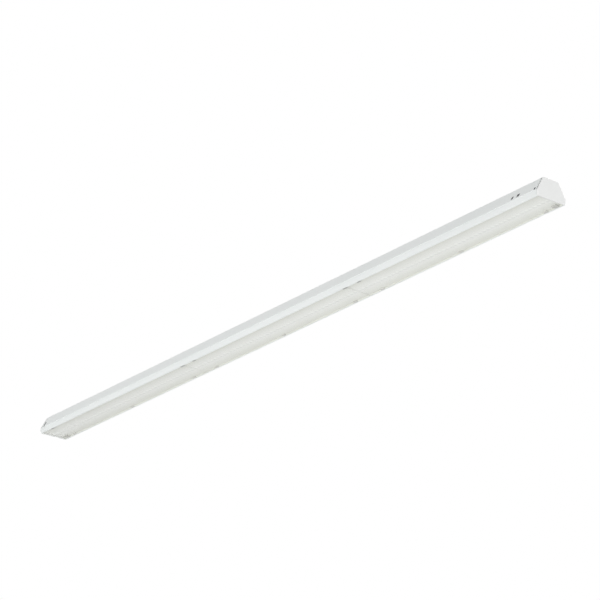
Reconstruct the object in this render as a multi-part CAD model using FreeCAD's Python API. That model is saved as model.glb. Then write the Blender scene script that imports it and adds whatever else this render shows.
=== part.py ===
"""LED trunking light: a folded steel rail, a gear tray under it, LED boards behind satin lens plates,
a driver, a mains terminal block, through wiring and a plastic cap on each end.

Frame: X runs along the light, Y across it and Z up. The origin is the middle of the rail's top face,
where the light is fixed. All sizes are millimetres.
"""
import FreeCAD
import Part
import math
import os

Vector = FreeCAD.Vector

# Length of the light
module_count = 3            # boards and lens plates, end to end
module_length = 560.0       # one board's share of the length
cap_depth = 5.0             # rail's end to the cap's outer face
cap_gap = 2.2               # open line between the rail's end and the cap
tray_gap = 0.4              # between the tray's end and the cap

# Rail and tray section
rail_top_width = 39.0
rail_height = 30.5
body_width = 73.0           # across the bottom of the rail, and across the tray
tray_height = 12.5
rail_sheet = 0.8
tray_sheet = 0.7
rail_lip = 7.0              # inward lip at the foot of each rail wall
tray_lip = 3.2              # inward lip at the foot of each tray wall
fold_radius = 1.0           # inside radius of the sheet metal folds

# Openings in the rail
fixing_spacing = 1120.0     # between the two holes in the top
fixing_hole = 5.5
knockout_diameter = 16.0    # cable entry, punched part of the way through
knockout_groove = 0.7
knockout_depth = 0.4
knockout_setback = 40.0     # from each end of the rail
latch_window_height = 7.2
latch_window_drop = 21.3    # middle of the connector's latch windows below the rail's top
latch_window_length = 7.8
small_latch_length = 5.5    # the second window, further from the rail's end
snap_window_length = 4.5
snap_window_foot = 2.3      # foot of the caps' snap windows above the foot of the rail
right_snap_height = 6.0
left_snap_height = 13.0
snap_window_setback = 6.0

# End caps
cap_face = 2.2
cap_wall = 1.8
cap_top_radius = 4.0        # corners beside the top, seen from the end
cap_corner_radius = 2.0     # the other corners
cap_edge_radius = 1.2
spigot_depth = 16.0
spigot_wall = 1.8
spigot_inset = 2.4          # inside the rail's wall, so that the open line looks dark
spigot_floor_gap = 2.0      # above the rail's lips
hook_recess = 0.3           # hooks and latches stop this far inside the rail's outer face
hook_clearance = 0.2        # around a hook or latch in its window

# Spring clips that hold the tray up against the rail's lips
clip_sheet = 0.5
clip_width = 12.0
clip_bend = 0.6
clip_height = 6.5
clip_leg_gap = 2.5          # from the lip's edge to the clip's leg
clip_foot = 10.5
clip_reach = 2.0            # over the lip
clip_lift = 0.5             # middle of the clip's end above the lip
rivet_hole = 3.3
rivet_shank = 3.2
rivet_head = 6.0
rivet_head_height = 1.2
rivet_setback = 6.0         # from the clip's leg

# Cross recess in a screw's head, as shares of the head's diameter
recess_span = 0.5
recess_slot = 0.12

# LED boards
board_width = 24.0
board_thickness = 1.6
board_joint = 2.0           # gap between two boards
board_screw_count = 4
board_screw_setback = 50.0
board_screw_offset = 8.6    # from the middle of the board, to alternate sides
board_screw_hole = 3.4
board_screw_shank = 2.9
board_screw_length = 4.6
board_screw_head = 5.5
board_screw_head_height = 1.8
pilot_clearance = 0.1       # between a screw and its hole in the tray
led_size = 3.0
led_height = 0.65
led_window = 2.4
led_window_height = 0.15
connector_length = 9.0
connector_width = 5.6
connector_height = 3.6
connector_offset = 8.6      # from the middle of the board
connector_setback = 0.5     # from the board's end
connector_pitch = 2.5
link_wire = 1.4
link_hold = 4.0             # wire inside a connector
wire_clearance = 0.1        # around a wire in its hole

# Lens plates
plate_joint = 1.0           # gap between two plates
plate_clearance = 0.1       # beside the folds of the tray's lips
plate_rib = 2.6             # width of the edge ribs that rest on the tray's lips
plate_recess = 2.0          # field above the ribs' feet
plate_thickness = 2.0
lens_pitch = 11.65
lens_diameter = 9.6
lens_rise = 0.9
lens_neck = 6.4
lens_gap = 0.6              # between the lens and the LED
lens_cup = 4.2              # hollow over the LED, half a sphere
retainer_length = 10.0
retainer_reach = 5.5        # at the back, shown inside the tray's lip
front_reach = 3.0
retainer_clearance = 0.15
retainer_setback = 42.0     # from a joint between two plates, or where one would be
seam_retainer_length = 14.0     # in front, where two plates meet
lock_setback = 14.0         # broad retainers at the back, near the rail's ends
lock_length = 12.0
lock_reach = 11.0
retainer_head_margin = 2.0  # beyond each end of the foot
retainer_head_height = 1.5
retainer_head_reach = 3.0   # onto the plate

# Driver
driver_length = 280.0
driver_width = 30.0
driver_headroom = 3.0       # under the wire combs
driver_clip_gap = 9.0       # from the first pair of tray clips to its left tab
driver_feed_gap = 60.0      # from its right end to the hole that its leads go through
driver_lift = 3.0
driver_sheet = 0.8
driver_wall = 1.4
driver_tab = 12.0
driver_tab_width = 46.0
driver_screw_offset = 18.5
driver_screw_hole = 4.3
driver_screw_shank = 3.2
driver_screw_length = 4.0
driver_screw_head = 7.0
driver_screw_head_height = 2.4
driver_post = 5.0
driver_post_height = 3.0
driver_post_setback = 30.0
driver_board_gap = 1.0      # inside the cover
terminal_length = 16.0
terminal_headroom = 1.7     # under the driver's cover
terminal_pitch = 5.0
terminal_margin = 3.0       # beside the outer poles
terminal_clearance = 0.2
terminal_hold = 8.0         # wire inside a terminal
input_poles = 3
output_poles = 2
transformer_length = 26.0
transformer_width = 20.0
transformer_headroom = 0.7  # under the driver's cover
transformer_setback = 110.0
winding_length = 16.0
winding_width = 23.0
winding_step = 1.25         # from the core's top and foot to the winding
capacitor_headroom = 2.2    # under the driver's cover
capacitor_length = 20.0
capacitor_setbacks = (50.0, 190.0, 216.0)

# Mains terminal block
block_setback = 95.0        # from the rail's left end to the middle
block_length = 22.0
block_height = 16.0
block_poles = 5
block_lip_gap = 2.0         # from its ears to the rail's lips
block_upper_hole = 11.5     # height of the through wires
block_lower_hole = 5.0      # height of the tap wires
block_hold = 8.0
block_ear = 7.5
block_ear_height = 3.0
block_screw_hole = 3.4
clamp_screw = 4.6
clamp_screw_height = 3.0
clamp_screw_clearance = 0.2
clamp_slot_width = 0.9
clamp_slot_depth = 1.0

# Wires
wire_diameter = 2.6
wire_pitch = 3.5
wire_inner = 6.7            # Y distance of the through wires nearest the fixing holes
wire_drop = 4.0             # below the rail's top face
wire_straight = 14.0        # out of the terminal block before the first bend
wire_rise = 110.0           # length over which the through wires climb
comb_length = 8.0
comb_spacing = 280.0
comb_margin = 0.4           # beside the outer wires
comb_depth = 6.5            # foot of the comb below the rail's top face
comb_mouth = 2.2
lead_diameter = 1.6
lead_bend = 4.8             # radius of the leads' bends
grommet_hole = 8.0
grommet_bore = 5.4
grommet_flange = 11.0
grommet_flange_height = 1.0
grommet_clearance = 0.05
grommet_lip_gap = 0.5       # from its flange to the rail's lip

# Earth connection
earth_slant = 10.5          # length over which its wire comes across to the ring terminal
earth_lip_gap = 3.0         # from the ring to the rail's lip
earth_ring = 9.0
earth_ring_hole = 4.4
earth_ring_sheet = 0.8
earth_barrel = 4.4
earth_barrel_length = 8.0
earth_barrel_height = 2.4   # its axis above the tray
earth_neck = 4.0
earth_screw_shank = 3.9
earth_screw_length = 6.0
earth_screw_head = 8.0
earth_screw_head_height = 2.8
earth_washer_height = 0.8

# Through-wiring connector at the right end
socket_length = 46.0
socket_setback = 38.0       # from the rail's right end
socket_side_gap = 1.0       # beside the connector's top, inside the rail's walls
socket_floor_gap = 4.5      # above the tray
socket_hold = 8.0
latch_setback = 14.5        # from the connector's right face to its first latch
latch_spacing = 16.0
contact_pitch = 6.0
contact_diameter = 3.8
contact_bore = 2.6
contact_length = 20.0
contact_floor = 4.0         # solid end behind the bore
contact_clearance = 0.1
contact_inset = 1.0         # behind the connector's face

# Places that follow from the sizes above
rail_length = module_count * module_length
rail_end = rail_length / 2
tray_end = rail_end + cap_gap - tray_gap
half_top = rail_top_width / 2
half_body = body_width / 2
web_top = -rail_height                      # tray's web, upper face
web_under = web_top - tray_sheet
tray_bottom = web_top - tray_height
board_under = web_under - board_thickness
led_face = board_under - led_height - led_window_height
plate_seat = tray_bottom + tray_sheet
field_under = plate_seat + plate_recess
field_top = field_under + plate_thickness
plate_half = half_body - tray_sheet - fold_radius - plate_clearance
lip_edge = half_body - tray_lip
rail_lip_edge = half_body - rail_lip
board_length = module_length - board_joint
plate_length = module_length - plate_joint
module_middles = [(i + 0.5) * module_length - rail_end for i in range(module_count)]
wall_lean = (half_body - half_top) / rail_height
wall_cosine = math.cos(math.atan(wall_lean))
block_x = -rail_end + block_setback
block_half = rail_lip_edge - block_lip_gap - block_ear
block_pitch = 2 * block_half / block_poles
pole_ys = [(i + 0.5) * block_pitch - block_half for i in range(block_poles)]
driver_left = module_middles[0] + clip_width / 2 + driver_clip_gap + driver_tab + driver_lift
driver_x = (driver_left, driver_left + driver_length)
feed_x = driver_x[1] + driver_feed_gap
feed_y = grommet_lip_gap + grommet_flange / 2 - rail_lip_edge
driver_floor = web_top + driver_lift + driver_sheet
driver_top = -comb_depth - driver_headroom
driver_ceiling = driver_top - driver_wall
driver_board_top = driver_floor + driver_post_height + board_thickness
terminal_top = driver_ceiling - terminal_headroom
terminal_wire_z = (driver_board_top + terminal_top) / 2
connector_z = board_under - connector_height / 2
wire_ys = sorted([-wire_inner - i * wire_pitch for i in range(block_poles // 2)])
wire_ys += [wire_inner + i * wire_pitch for i in range(block_poles - block_poles // 2)]
socket_x = (rail_end - socket_setback - socket_length, rail_end - socket_setback)
socket_foot = web_top + socket_floor_gap
earth_barrel_x = block_x + block_length / 2 + wire_straight + earth_slant + wire_straight / 2
earth_x = earth_barrel_x + earth_barrel_length + earth_ring / 2
earth_y = rail_lip_edge - earth_lip_gap - earth_ring / 2


def wall_outside(z):
    """Half the rail's width over its outer faces at height z."""
    return half_top - wall_lean * z


def wall_inside(z):
    """Half the rail's width between its inner faces at height z."""
    return wall_outside(z) - rail_sheet / wall_cosine


def around(middle, size):
    """Low and high end of a size centred on middle."""
    return (middle - size / 2, middle + size / 2)


def box(x, y, z):
    """Block between the low and high ends given for each axis."""
    return Part.makeBox(x[1] - x[0], y[1] - y[0], z[1] - z[0], Vector(x[0], y[0], z[0]))


def rod(diameter, start, end):
    """Round bar from one point to another."""
    return Part.makeCylinder(diameter / 2, (end - start).Length, start, end - start)


def upright(diameter, x, y, z):
    """Round bar along Z between the two heights in z."""
    return rod(diameter, Vector(x, y, z[0]), Vector(x, y, z[1]))


def joined(first, *others):
    """One solid from overlapping ones."""
    return first.fuse(list(others)).removeSplitter()


def group(shapes):
    """Separate solids that share one node."""
    return Part.makeCompound(list(shapes))


def offset_path(points, distance, closed=False):
    """Moves each run of a (y, z) path sideways, to the left for a positive distance, and meets them again."""
    count = len(points)
    runs = []
    for i in range(count if closed else count - 1):
        (y0, z0), (y1, z1) = points[i], points[(i + 1) % count]
        length = math.hypot(y1 - y0, z1 - z0)
        along = ((y1 - y0) / length, (z1 - z0) / length)
        shift = (-along[1] * distance, along[0] * distance)
        runs.append(((y0 + shift[0], z0 + shift[1]), along, (y1 + shift[0], z1 + shift[1])))

    def meeting(first, second):
        (ay, az), (ty, tz), _ = first
        (by, bz), (uy, uz), _ = second
        reach = ((by - ay) * uz - (bz - az) * uy) / (ty * uz - tz * uy)
        return (ay + ty * reach, az + tz * reach)

    if closed:
        return [meeting(runs[i - 1], runs[i]) for i in range(count)]
    corners = [meeting(a, b) for a, b in zip(runs, runs[1:])]
    return [runs[0][0]] + corners + [runs[-1][2]]


def prism(outline, x):
    """Extrudes a closed (y, z) outline between the two X ends."""
    points = [Vector(x[0], y, z) for y, z in outline]
    face = Part.Face(Part.makePolygon(points + points[:1]))
    return face.extrude(Vector(x[1] - x[0], 0, 0))


def folded_sheet(middle_line, sheet, inside_radius, x):
    """Sheet folded at the (y, z) corners of its middle line, with round folds, between the two X ends."""
    corners = [Vector(x[0], y, z) for y, z in middle_line]
    bend = inside_radius + sheet / 2
    runs = []
    start = corners[0]
    for before, corner, after in zip(corners, corners[1:], corners[2:]):
        back = (before - corner).normalize()
        onward = (after - corner).normalize()
        half_angle = back.getAngle(onward) / 2
        reach = bend / math.tan(half_angle)
        centre = corner + (back + onward).normalize() * (bend / math.sin(half_angle))
        runs.append((start, None, corner + back * reach))
        runs.append((corner + back * reach, centre, corner + onward * reach))
        start = corner + onward * reach
    runs.append((start, None, corners[-1]))

    def side(offset):
        edges = []
        left = Vector(0, 0, 0)
        for a, centre, b in runs:
            if centre is None:
                along = (b - a).normalize()
                left = Vector(0, -along.z, along.y)
                edges.append(Part.LineSegment(a + left * offset, b + left * offset).toShape())
            else:
                turn = 1 if left.dot(centre - a) > 0 else -1
                scale = (bend - turn * offset) / bend
                first = centre + (a - centre) * scale
                last = centre + (b - centre) * scale
                crown = centre + ((a + b) / 2 - centre).normalize() * (bend * scale)
                edges.append(Part.Arc(first, crown, last).toShape())
        return edges

    left_side, right_side = side(sheet / 2), side(-sheet / 2)
    ends = [
        Part.LineSegment(left_side[0].Vertexes[0].Point, right_side[0].Vertexes[0].Point).toShape(),
        Part.LineSegment(left_side[-1].Vertexes[-1].Point, right_side[-1].Vertexes[-1].Point).toShape(),
    ]
    wire = Part.Wire(Part.sortEdges(left_side + ends + right_side)[0])
    return Part.Face(wire).extrude(Vector(x[1] - x[0], 0, 0))


def along_x(shape):
    """Turns a shape made along Y so that it runs along X."""
    return shape.rotate(Vector(0, 0, 0), Vector(0, 0, 1), -90)


def turned_solid(profile):
    """Solid turned about Z from (radius, z) runs: a line's end point, or an arc's crown and end point."""
    points = [Vector(profile[0][0], 0, profile[0][1])]
    edges = []
    for run in profile[1:]:
        if len(run) == 2:
            end = Vector(run[0], 0, run[1])
            edges.append(Part.LineSegment(points[-1], end).toShape())
        else:
            end = Vector(run[2], 0, run[3])
            edges.append(Part.Arc(points[-1], Vector(run[0], 0, run[1]), end).toShape())
        points.append(end)
    edges.append(Part.LineSegment(points[-1], points[0]).toShape())
    return Part.Face(Part.Wire(edges)).revolve(Vector(0, 0, 0), Vector(0, 0, 1), 360)


def screw(head, head_height, shank, length, seat, points_up):
    """Pan-head screw whose head bears on the seat point, with a cross recess in the head."""
    body = joined(
        Part.makeCylinder(head / 2, head_height, Vector(0, 0, -head_height)),
        Part.makeCylinder(shank / 2, length + head_height / 2, Vector(0, 0, -head_height / 2)),
    )
    slot_z = (-head_height, -head_height / 2)
    arm, slot = around(0, head * recess_span), around(0, head * recess_slot)
    body = body.cut([box(arm, slot, slot_z), box(slot, arm, slot_z)])
    if not points_up:
        body = body.rotate(Vector(0, 0, 0), Vector(1, 0, 0), 180)
    return body.translate(seat)


def wire(points, diameter, largest_bend=None):
    """Wire along straight runs joined by tangent arcs as large as the runs allow, or no larger than asked."""
    tangent_share = 0.45
    edges = []
    start = points[0]
    for before, corner, after in zip(points, points[1:], points[2:]):
        back, onward = before - corner, after - corner
        reach = tangent_share * min(back.Length, onward.Length)
        back.normalize()
        onward.normalize()
        half_angle = back.getAngle(onward) / 2
        if largest_bend:
            reach = min(reach, largest_bend / math.tan(half_angle))
        radius = reach * math.tan(half_angle)
        to_crown = reach / math.cos(half_angle) - radius
        first, last = corner + back * reach, corner + onward * reach
        crown = corner + (back + onward).normalize() * to_crown
        edges.append(Part.LineSegment(start, first).toShape())
        edges.append(Part.Arc(first, crown, last).toShape())
        start = last
    edges.append(Part.LineSegment(start, points[-1]).toShape())
    spine = Part.Wire(edges)
    circle = Part.makeCircle(diameter / 2, points[0], points[1] - points[0])
    return spine.makePipeShell([Part.Wire(circle)], True, True)


def body_outline():
    """Outer outline of rail and tray together, from the rail's top round by +Y."""
    return [
        (-half_top, 0), (half_top, 0), (half_body, web_top),
        (half_body, tray_bottom), (-half_body, tray_bottom), (-half_body, web_top),
    ]


def in_window(window_x, window_z, inner):
    """Blocks that fill a window in both rail walls, from the half width inner to just inside the face."""
    x = (window_x[0] + hook_clearance, window_x[1] - hook_clearance)
    z = (window_z[0] + hook_clearance, window_z[1] - hook_clearance)
    limit = prism(offset_path(body_outline(), -hook_recess, closed=True), x)
    return [box(x, y, z).common(limit) for y in ((-half_body, -inner), (inner, half_body))]


def latch_window_ranges():
    """X range of each latch window of the connector, at the rail's right end."""
    first = socket_x[1] - latch_setback
    return [around(first, latch_window_length), around(first - latch_spacing, small_latch_length)]


def snap_windows():
    """X and Z range of the caps' snap windows, at the left and right ends."""
    middle = rail_end - snap_window_setback
    foot = web_top + snap_window_foot
    return [
        (around(-middle, snap_window_length), (foot, foot + left_snap_height)),
        (around(middle, snap_window_length), (foot, foot + right_snap_height)),
    ]


def trunking_rail():
    """Folded channel with leaning walls, inward lips and its punched openings."""
    outer = [
        (-rail_lip_edge, web_top), (-half_body, web_top), (-half_top, 0),
        (half_top, 0), (half_body, web_top), (rail_lip_edge, web_top),
    ]
    rail = folded_sheet(offset_path(outer, -rail_sheet / 2), rail_sheet, fold_radius, (-rail_end, rail_end))
    across = (-body_width, body_width)
    latch_z = around(-latch_window_drop, latch_window_height)
    cuts = [box(x, across, latch_z) for x in latch_window_ranges()]
    cuts += [box(x, across, z) for x, z in snap_windows()]
    through_top = (-2 * rail_sheet, rail_sheet)
    cuts += [upright(fixing_hole, x, 0, through_top) for x in around(0, fixing_spacing)]
    for x in around(0, rail_length - 2 * knockout_setback):
        depth = (-knockout_depth, rail_sheet)
        ring = upright(knockout_diameter, x, 0, depth)
        cuts.append(ring.cut(upright(knockout_diameter - 2 * knockout_groove, x, 0, depth)))
    return rail.cut(cuts)


def tray_holes():
    """Round holes in the tray's web, as (diameter, x, y)."""
    board = [(board_screw_shank + 2 * pilot_clearance, x, y) for x, y in board_screw_places()]
    rivets = [(rivet_hole, x, y) for x, y in rivet_places()]
    driver = [(driver_screw_shank + 2 * pilot_clearance, x, y) for x, y in driver_screw_places()]
    block = [(board_screw_shank + 2 * pilot_clearance, x, y) for x, y in block_screw_places()]
    earth = [(earth_screw_shank + 2 * pilot_clearance, earth_x, earth_y)]
    return board + rivets + driver + block + earth + [(grommet_hole, feed_x, feed_y)]


def gear_tray():
    """Folded tray, open downwards, with gear above its web, boards below and notches in the front lip."""
    outer = [
        (-lip_edge, tray_bottom), (-half_body, tray_bottom), (-half_body, web_top),
        (half_body, web_top), (half_body, tray_bottom), (lip_edge, tray_bottom),
    ]
    tray = folded_sheet(offset_path(outer, -tray_sheet / 2), tray_sheet, fold_radius, (-tray_end, tray_end))
    through_web = (web_under - tray_sheet, web_top + tray_sheet)
    cuts = [upright(diameter, x, y, through_web) for diameter, x, y in tray_holes()]
    notch_y = (-plate_half - retainer_clearance, -lip_edge + tray_sheet)
    through_lip = (tray_bottom - tray_sheet, plate_seat + tray_sheet)
    for place, side, length, _ in retainer_places():
        if side < 0:
            cuts.append(box(around(place, length), notch_y, through_lip))
    return tray.cut(cuts)


def spigot_outline():
    """Outer corners of a cap's spigot, seen from the end."""
    high, low = -rail_sheet - spigot_inset, web_top + rail_sheet + spigot_floor_gap
    high_half, low_half = (wall_inside(z) - spigot_inset / wall_cosine for z in (high, low))
    return [(-high_half, high), (high_half, high), (low_half, low), (-low_half, low)]


def end_cap_right():
    """Moulded cap with a hollow spigot inside the rail."""
    inner_x, outer_x = rail_end + cap_gap, rail_end + cap_depth
    cap = prism(body_outline(), (inner_x, outer_x))
    corners = [e for e in cap.Edges if abs(e.tangentAt(e.FirstParameter).x) > 0.5]
    cap = cap.makeFillet(cap_corner_radius, [e for e in corners if e.CenterOfMass.z < web_top / 2])
    corners = [e for e in cap.Edges if e.BoundBox.ZMin > web_top / 2 and e.BoundBox.XLength > cap_edge_radius]
    cap = cap.makeFillet(cap_top_radius, corners)
    rim = [e for e in cap.Edges if e.BoundBox.XMin > outer_x - cap_edge_radius / 2]
    cap = cap.makeFillet(cap_edge_radius, rim)
    inside = offset_path(body_outline(), -cap_wall, closed=True)
    hollow = prism(inside, (inner_x, outer_x - cap_face))
    ring = spigot_outline()
    ring_x = (rail_end - spigot_depth, outer_x - cap_face / 2)
    spigot = prism(ring, ring_x)
    bore_x = (ring_x[0] - spigot_wall, outer_x - cap_face)
    spigot = spigot.cut(prism(offset_path(ring, -spigot_wall, closed=True), bore_x))
    return joined(cap.cut(hollow), spigot)


def end_cap_left():
    """The same cap on the other end."""
    return end_cap_right().mirror(Vector(0, 0, 0), Vector(1, 0, 0))


def cap_snaps():
    """Dark snaps on the caps' spigots, one in each of the rail's snap windows."""
    snaps = []
    for x, z in snap_windows():
        inner = wall_inside(z[1]) - spigot_inset / wall_cosine - spigot_wall / 2
        spigot = prism(spigot_outline(), x)
        snaps += [block.cut(spigot) for block in in_window(x, z, inner)]
    return group(snaps)


def clip_places():
    """X of each pair of tray clips: the middle of each module."""
    return module_middles


def rivet_places():
    """Where each clip is riveted to the tray."""
    y = rail_lip_edge - clip_leg_gap - rivet_setback
    return [(x, side * y) for x in clip_places() for side in (-1, 1)]


def tray_clips():
    """Sprung steel clips that stand on the tray and hook over the rail's lips."""
    leg = rail_lip_edge - clip_leg_gap
    foot_z = web_top + clip_sheet / 2
    line = [
        (leg - clip_foot, foot_z), (leg, foot_z), (leg, foot_z + clip_height),
        (rail_lip_edge + clip_reach, web_top + rail_sheet + clip_lift),
    ]
    clips = []
    for x in clip_places():
        clip = folded_sheet(line, clip_sheet, clip_bend, around(x, clip_width))
        clip = clip.cut(upright(rivet_hole, x, leg - rivet_setback, (web_top, web_top + clip_sheet)))
        clips += [clip, clip.mirror(Vector(0, 0, 0), Vector(0, 1, 0))]
    return group(clips)


def tray_clip_rivets():
    """Rivets through clip and tray, with a head on each side."""
    above, below = web_top + clip_sheet, web_under
    return group(
        joined(
            upright(rivet_shank, x, y, (below - rivet_head_height / 2, above + rivet_head_height / 2)),
            upright(rivet_head, x, y, (above, above + rivet_head_height)),
            upright(rivet_head, x, y, (below - rivet_head_height, below)),
        )
        for x, y in rivet_places()
    )


def board_screw_places(middles=module_middles):
    """Where screws hold the boards to the tray, on alternate sides of the LED row."""
    step = (board_length - 2 * board_screw_setback) / (board_screw_count - 1)
    places = []
    for middle in middles:
        first = middle - board_length / 2 + board_screw_setback
        places += [(first + i * step, board_screw_offset * (-1) ** i) for i in range(board_screw_count)]
    return places


def led_board(middle):
    """Circuit board under the tray's web, with its screw holes."""
    board = box(around(middle, board_length), around(0, board_width), (board_under, web_under))
    through = (board_under - board_thickness, web_under + board_thickness)
    return board.cut([upright(board_screw_hole, x, y, through) for x, y in board_screw_places([middle])])


def lens_places(middle):
    """X of each LED and its lens in a module."""
    count = int(module_length // lens_pitch)
    return [middle + (i - (count - 1) / 2) * lens_pitch for i in range(count)]


def led_packages(middle):
    """LEDs soldered to the underside of a board, each with its round window."""
    body_z = (board_under - led_height, board_under)
    window_z = (led_face, board_under - led_height / 2)
    return group(
        joined(box(around(x, led_size), around(0, led_size), body_z), upright(led_window, x, 0, window_z))
        for x in lens_places(middle)
    )


def board_screws():
    """Screws that hold the boards, driven up from below."""
    return group(
        screw(board_screw_head, board_screw_head_height, board_screw_shank, board_screw_length,
              Vector(x, y, board_under), points_up=True)
        for x, y in board_screw_places()
    )


def board_end_connector(end_x, direction):
    """Two-pole wire connector at a board's end, with its wire holes facing outwards along direction."""
    outer = end_x - direction * connector_setback
    x = sorted((outer, outer - direction * connector_length))
    body = box(x, around(connector_offset, connector_width), around(connector_z, connector_height))
    holes = [
        rod(link_wire + 2 * wire_clearance, Vector(outer, y, connector_z),
            Vector(outer - direction * link_hold, y, connector_z))
        for y in around(connector_offset, connector_pitch)
    ]
    return body.cut(holes)


def board_connectors():
    """Connectors at both ends of each board, and the feed connector beside an LED of the second board."""
    connectors = []
    for middle in module_middles:
        for direction in (-1, 1):
            connectors.append(board_end_connector(middle + direction * board_length / 2, direction))
    y = around(-connector_offset, connector_width)
    feed = box(around(feed_x, connector_length), y, around(connector_z, connector_height))
    bore = lead_diameter + 2 * wire_clearance
    holes = [
        rod(bore, Vector(x, y[0], connector_z), Vector(x, y[0] + link_hold, connector_z))
        for x in around(feed_x, connector_pitch)
    ]
    return group(connectors + [feed.cut(holes)])


def link_wires(pole):
    """Short wires from each board to the next, for one pole of the connectors."""
    y = around(connector_offset, connector_pitch)[pole]
    reach = board_joint / 2 + connector_setback + link_hold
    joints = [middle + module_length / 2 for middle in module_middles[:-1]]
    return group(
        rod(link_wire, Vector(x - reach, y, connector_z), Vector(x + reach, y, connector_z)) for x in joints
    )


def retainer_places():
    """Every retainer as (x, side, length, reach): side is +1 at the back and -1 in front."""
    end = plate_length / 2 - retainer_setback
    places = []
    for middle in module_middles:
        places += [(middle + offset, 1, retainer_length, retainer_reach) for offset in (-end, 0, end)]
        places.append((middle - end, -1, retainer_length, front_reach))
    seams = [middle + module_length / 2 for middle in module_middles[:-1]]
    places += [(seam, -1, seam_retainer_length, front_reach) for seam in seams]
    places += [(x, 1, lock_length, lock_reach) for x in around(0, rail_length - 2 * lock_setback)]
    return places


def lens():
    """One lens about the Z axis: a dome below the plate, and above it a neck with a cup over the LED."""
    radius, neck, cup = lens_diameter / 2, lens_neck / 2, lens_cup / 2
    tip = field_under - lens_rise
    sphere = (radius ** 2 + lens_rise ** 2) / (2 * lens_rise)
    half_way = math.asin(radius / sphere) / 2
    dome_crown = (sphere * math.sin(half_way), tip + sphere * (1 - math.cos(half_way)))
    neck_top = led_face - lens_gap
    cup_crown = (cup * math.sin(math.pi / 4), neck_top - cup * math.cos(math.pi / 4))
    return turned_solid([
        (0, tip), (*dome_crown, radius, field_under), (radius, field_under + plate_thickness / 2),
        (neck, field_under + plate_thickness / 2), (neck, neck_top), (cup, neck_top),
        (*cup_crown, 0, neck_top - cup),
    ])


def plate_range(middle):
    """X range of a plate. The first and the last one reach as far as the tray does."""
    low, high = around(middle, plate_length)
    if middle == module_middles[0]:
        low = -tray_end
    if middle == module_middles[-1]:
        high = tray_end
    return (low, high)


def lens_plate(middle):
    """Satin plate with edge ribs on the tray's lips, a lens under each LED and notches for the retainers."""
    x = plate_range(middle)
    field = box(x, around(0, 2 * plate_half), (field_under, field_top))
    ribs = [
        box(x, y, (plate_seat, field_top))
        for y in ((-plate_half, plate_rib - plate_half), (plate_half - plate_rib, plate_half))
    ]
    one_lens = lens()
    lenses = [one_lens.translated(Vector(place, 0, 0)) for place in lens_places(middle)]
    plate = joined(field, *ribs, *lenses)
    notches = []
    for place, side, length, reach in retainer_places():
        y = sorted((side * (lip_edge - reach), side * half_body))
        notches.append(box(around(place, length), y, (tray_bottom, web_under)))
    return plate.cut(notches)


def lens_retainers():
    """Retainers in the plates' notches. The back ones stand on the lip, the front ones fill notches in it."""
    head_z = (field_top, field_top + retainer_head_height)
    pieces = []
    for place, side, length, reach in retainer_places():
        inner = lip_edge - reach + retainer_clearance
        foot_y = sorted((side * inner, side * plate_half))
        head_y = sorted((side * (inner - retainer_head_reach), side * plate_half))
        foot_z = (plate_seat if side > 0 else tray_bottom, head_z[1])
        foot = box(around(place, length - 2 * retainer_clearance), foot_y, foot_z)
        head = box(around(place, length + 2 * retainer_head_margin), head_y, head_z)
        pieces.append(joined(foot, head))
    return group(pieces)


def driver_screw_places():
    """Where the driver's tabs are screwed to the tray, two at each end."""
    reach = driver_lift + driver_tab / 2
    ends = (driver_x[0] - reach, driver_x[1] + reach)
    return [(x, y) for x in ends for y in (-driver_screw_offset, driver_screw_offset)]


def driver_post_places():
    """X of the posts under the driver's circuit board."""
    return (driver_x[0] + driver_post_setback, driver_x[1] - driver_post_setback)


def driver_base():
    """Steel floor of the driver, raised between its two screw tabs, with posts for the circuit board."""
    middle = sum(driver_x) / 2
    tab_z, floor_z = web_top + driver_sheet / 2, driver_floor - driver_sheet / 2
    half = driver_length / 2
    line = [
        (-half - driver_lift - driver_tab, tab_z), (-half - driver_lift, tab_z), (-half, floor_z),
        (half, floor_z), (half + driver_lift, tab_z), (half + driver_lift + driver_tab, tab_z),
    ]
    strip = folded_sheet(line, driver_sheet, fold_radius, around(0, driver_width))
    strip = along_x(strip).translate(Vector(middle, 0, 0))
    wings = []
    for x in (driver_x[0] - driver_lift - driver_tab, driver_x[1] + driver_lift + driver_sheet):
        wings.append(box((x, x + driver_tab - driver_sheet), around(0, driver_tab_width),
                         (web_top, web_top + driver_sheet)))
    post_z = (driver_floor - driver_sheet / 2, driver_floor + driver_post_height)
    posts = [upright(driver_post, x, 0, post_z) for x in driver_post_places()]
    through = (web_top, web_top + driver_sheet)
    holes = [upright(driver_screw_hole, x, y, through) for x, y in driver_screw_places()]
    return joined(strip, *wings, *posts).cut(holes)


def terminal_width(poles):
    """Width of a driver terminal with that many poles."""
    return (poles - 1) * terminal_pitch + 2 * terminal_margin


def driver_cover():
    """Moulded cover over the driver's floor, with a window at each end for a terminal."""
    cover = box(driver_x, around(0, driver_width), (driver_floor, driver_top))
    inside_x = (driver_x[0] + driver_wall, driver_x[1] - driver_wall)
    hollow = box(inside_x, around(0, driver_width - 2 * driver_wall), (driver_floor, driver_ceiling))
    window_z = (driver_board_top - terminal_clearance, terminal_top + terminal_clearance)
    windows = []
    for x, poles in ((driver_x[0], input_poles), (driver_x[1], output_poles)):
        y = around(0, terminal_width(poles) + 2 * terminal_clearance)
        windows.append(box(around(x, 4 * driver_wall), y, window_z))
    return cover.cut([hollow] + windows)


def driver_board():
    """The driver's circuit board, on its posts."""
    x = (driver_x[0] + driver_wall + driver_board_gap, driver_x[1] - driver_wall - driver_board_gap)
    width = driver_width - 2 * (driver_wall + driver_board_gap)
    return box(x, around(0, width), (driver_board_top - board_thickness, driver_board_top))


def pole_offsets(poles):
    """Y of each wire hole of a driver terminal."""
    return [(i - (poles - 1) / 2) * terminal_pitch for i in range(poles)]


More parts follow.
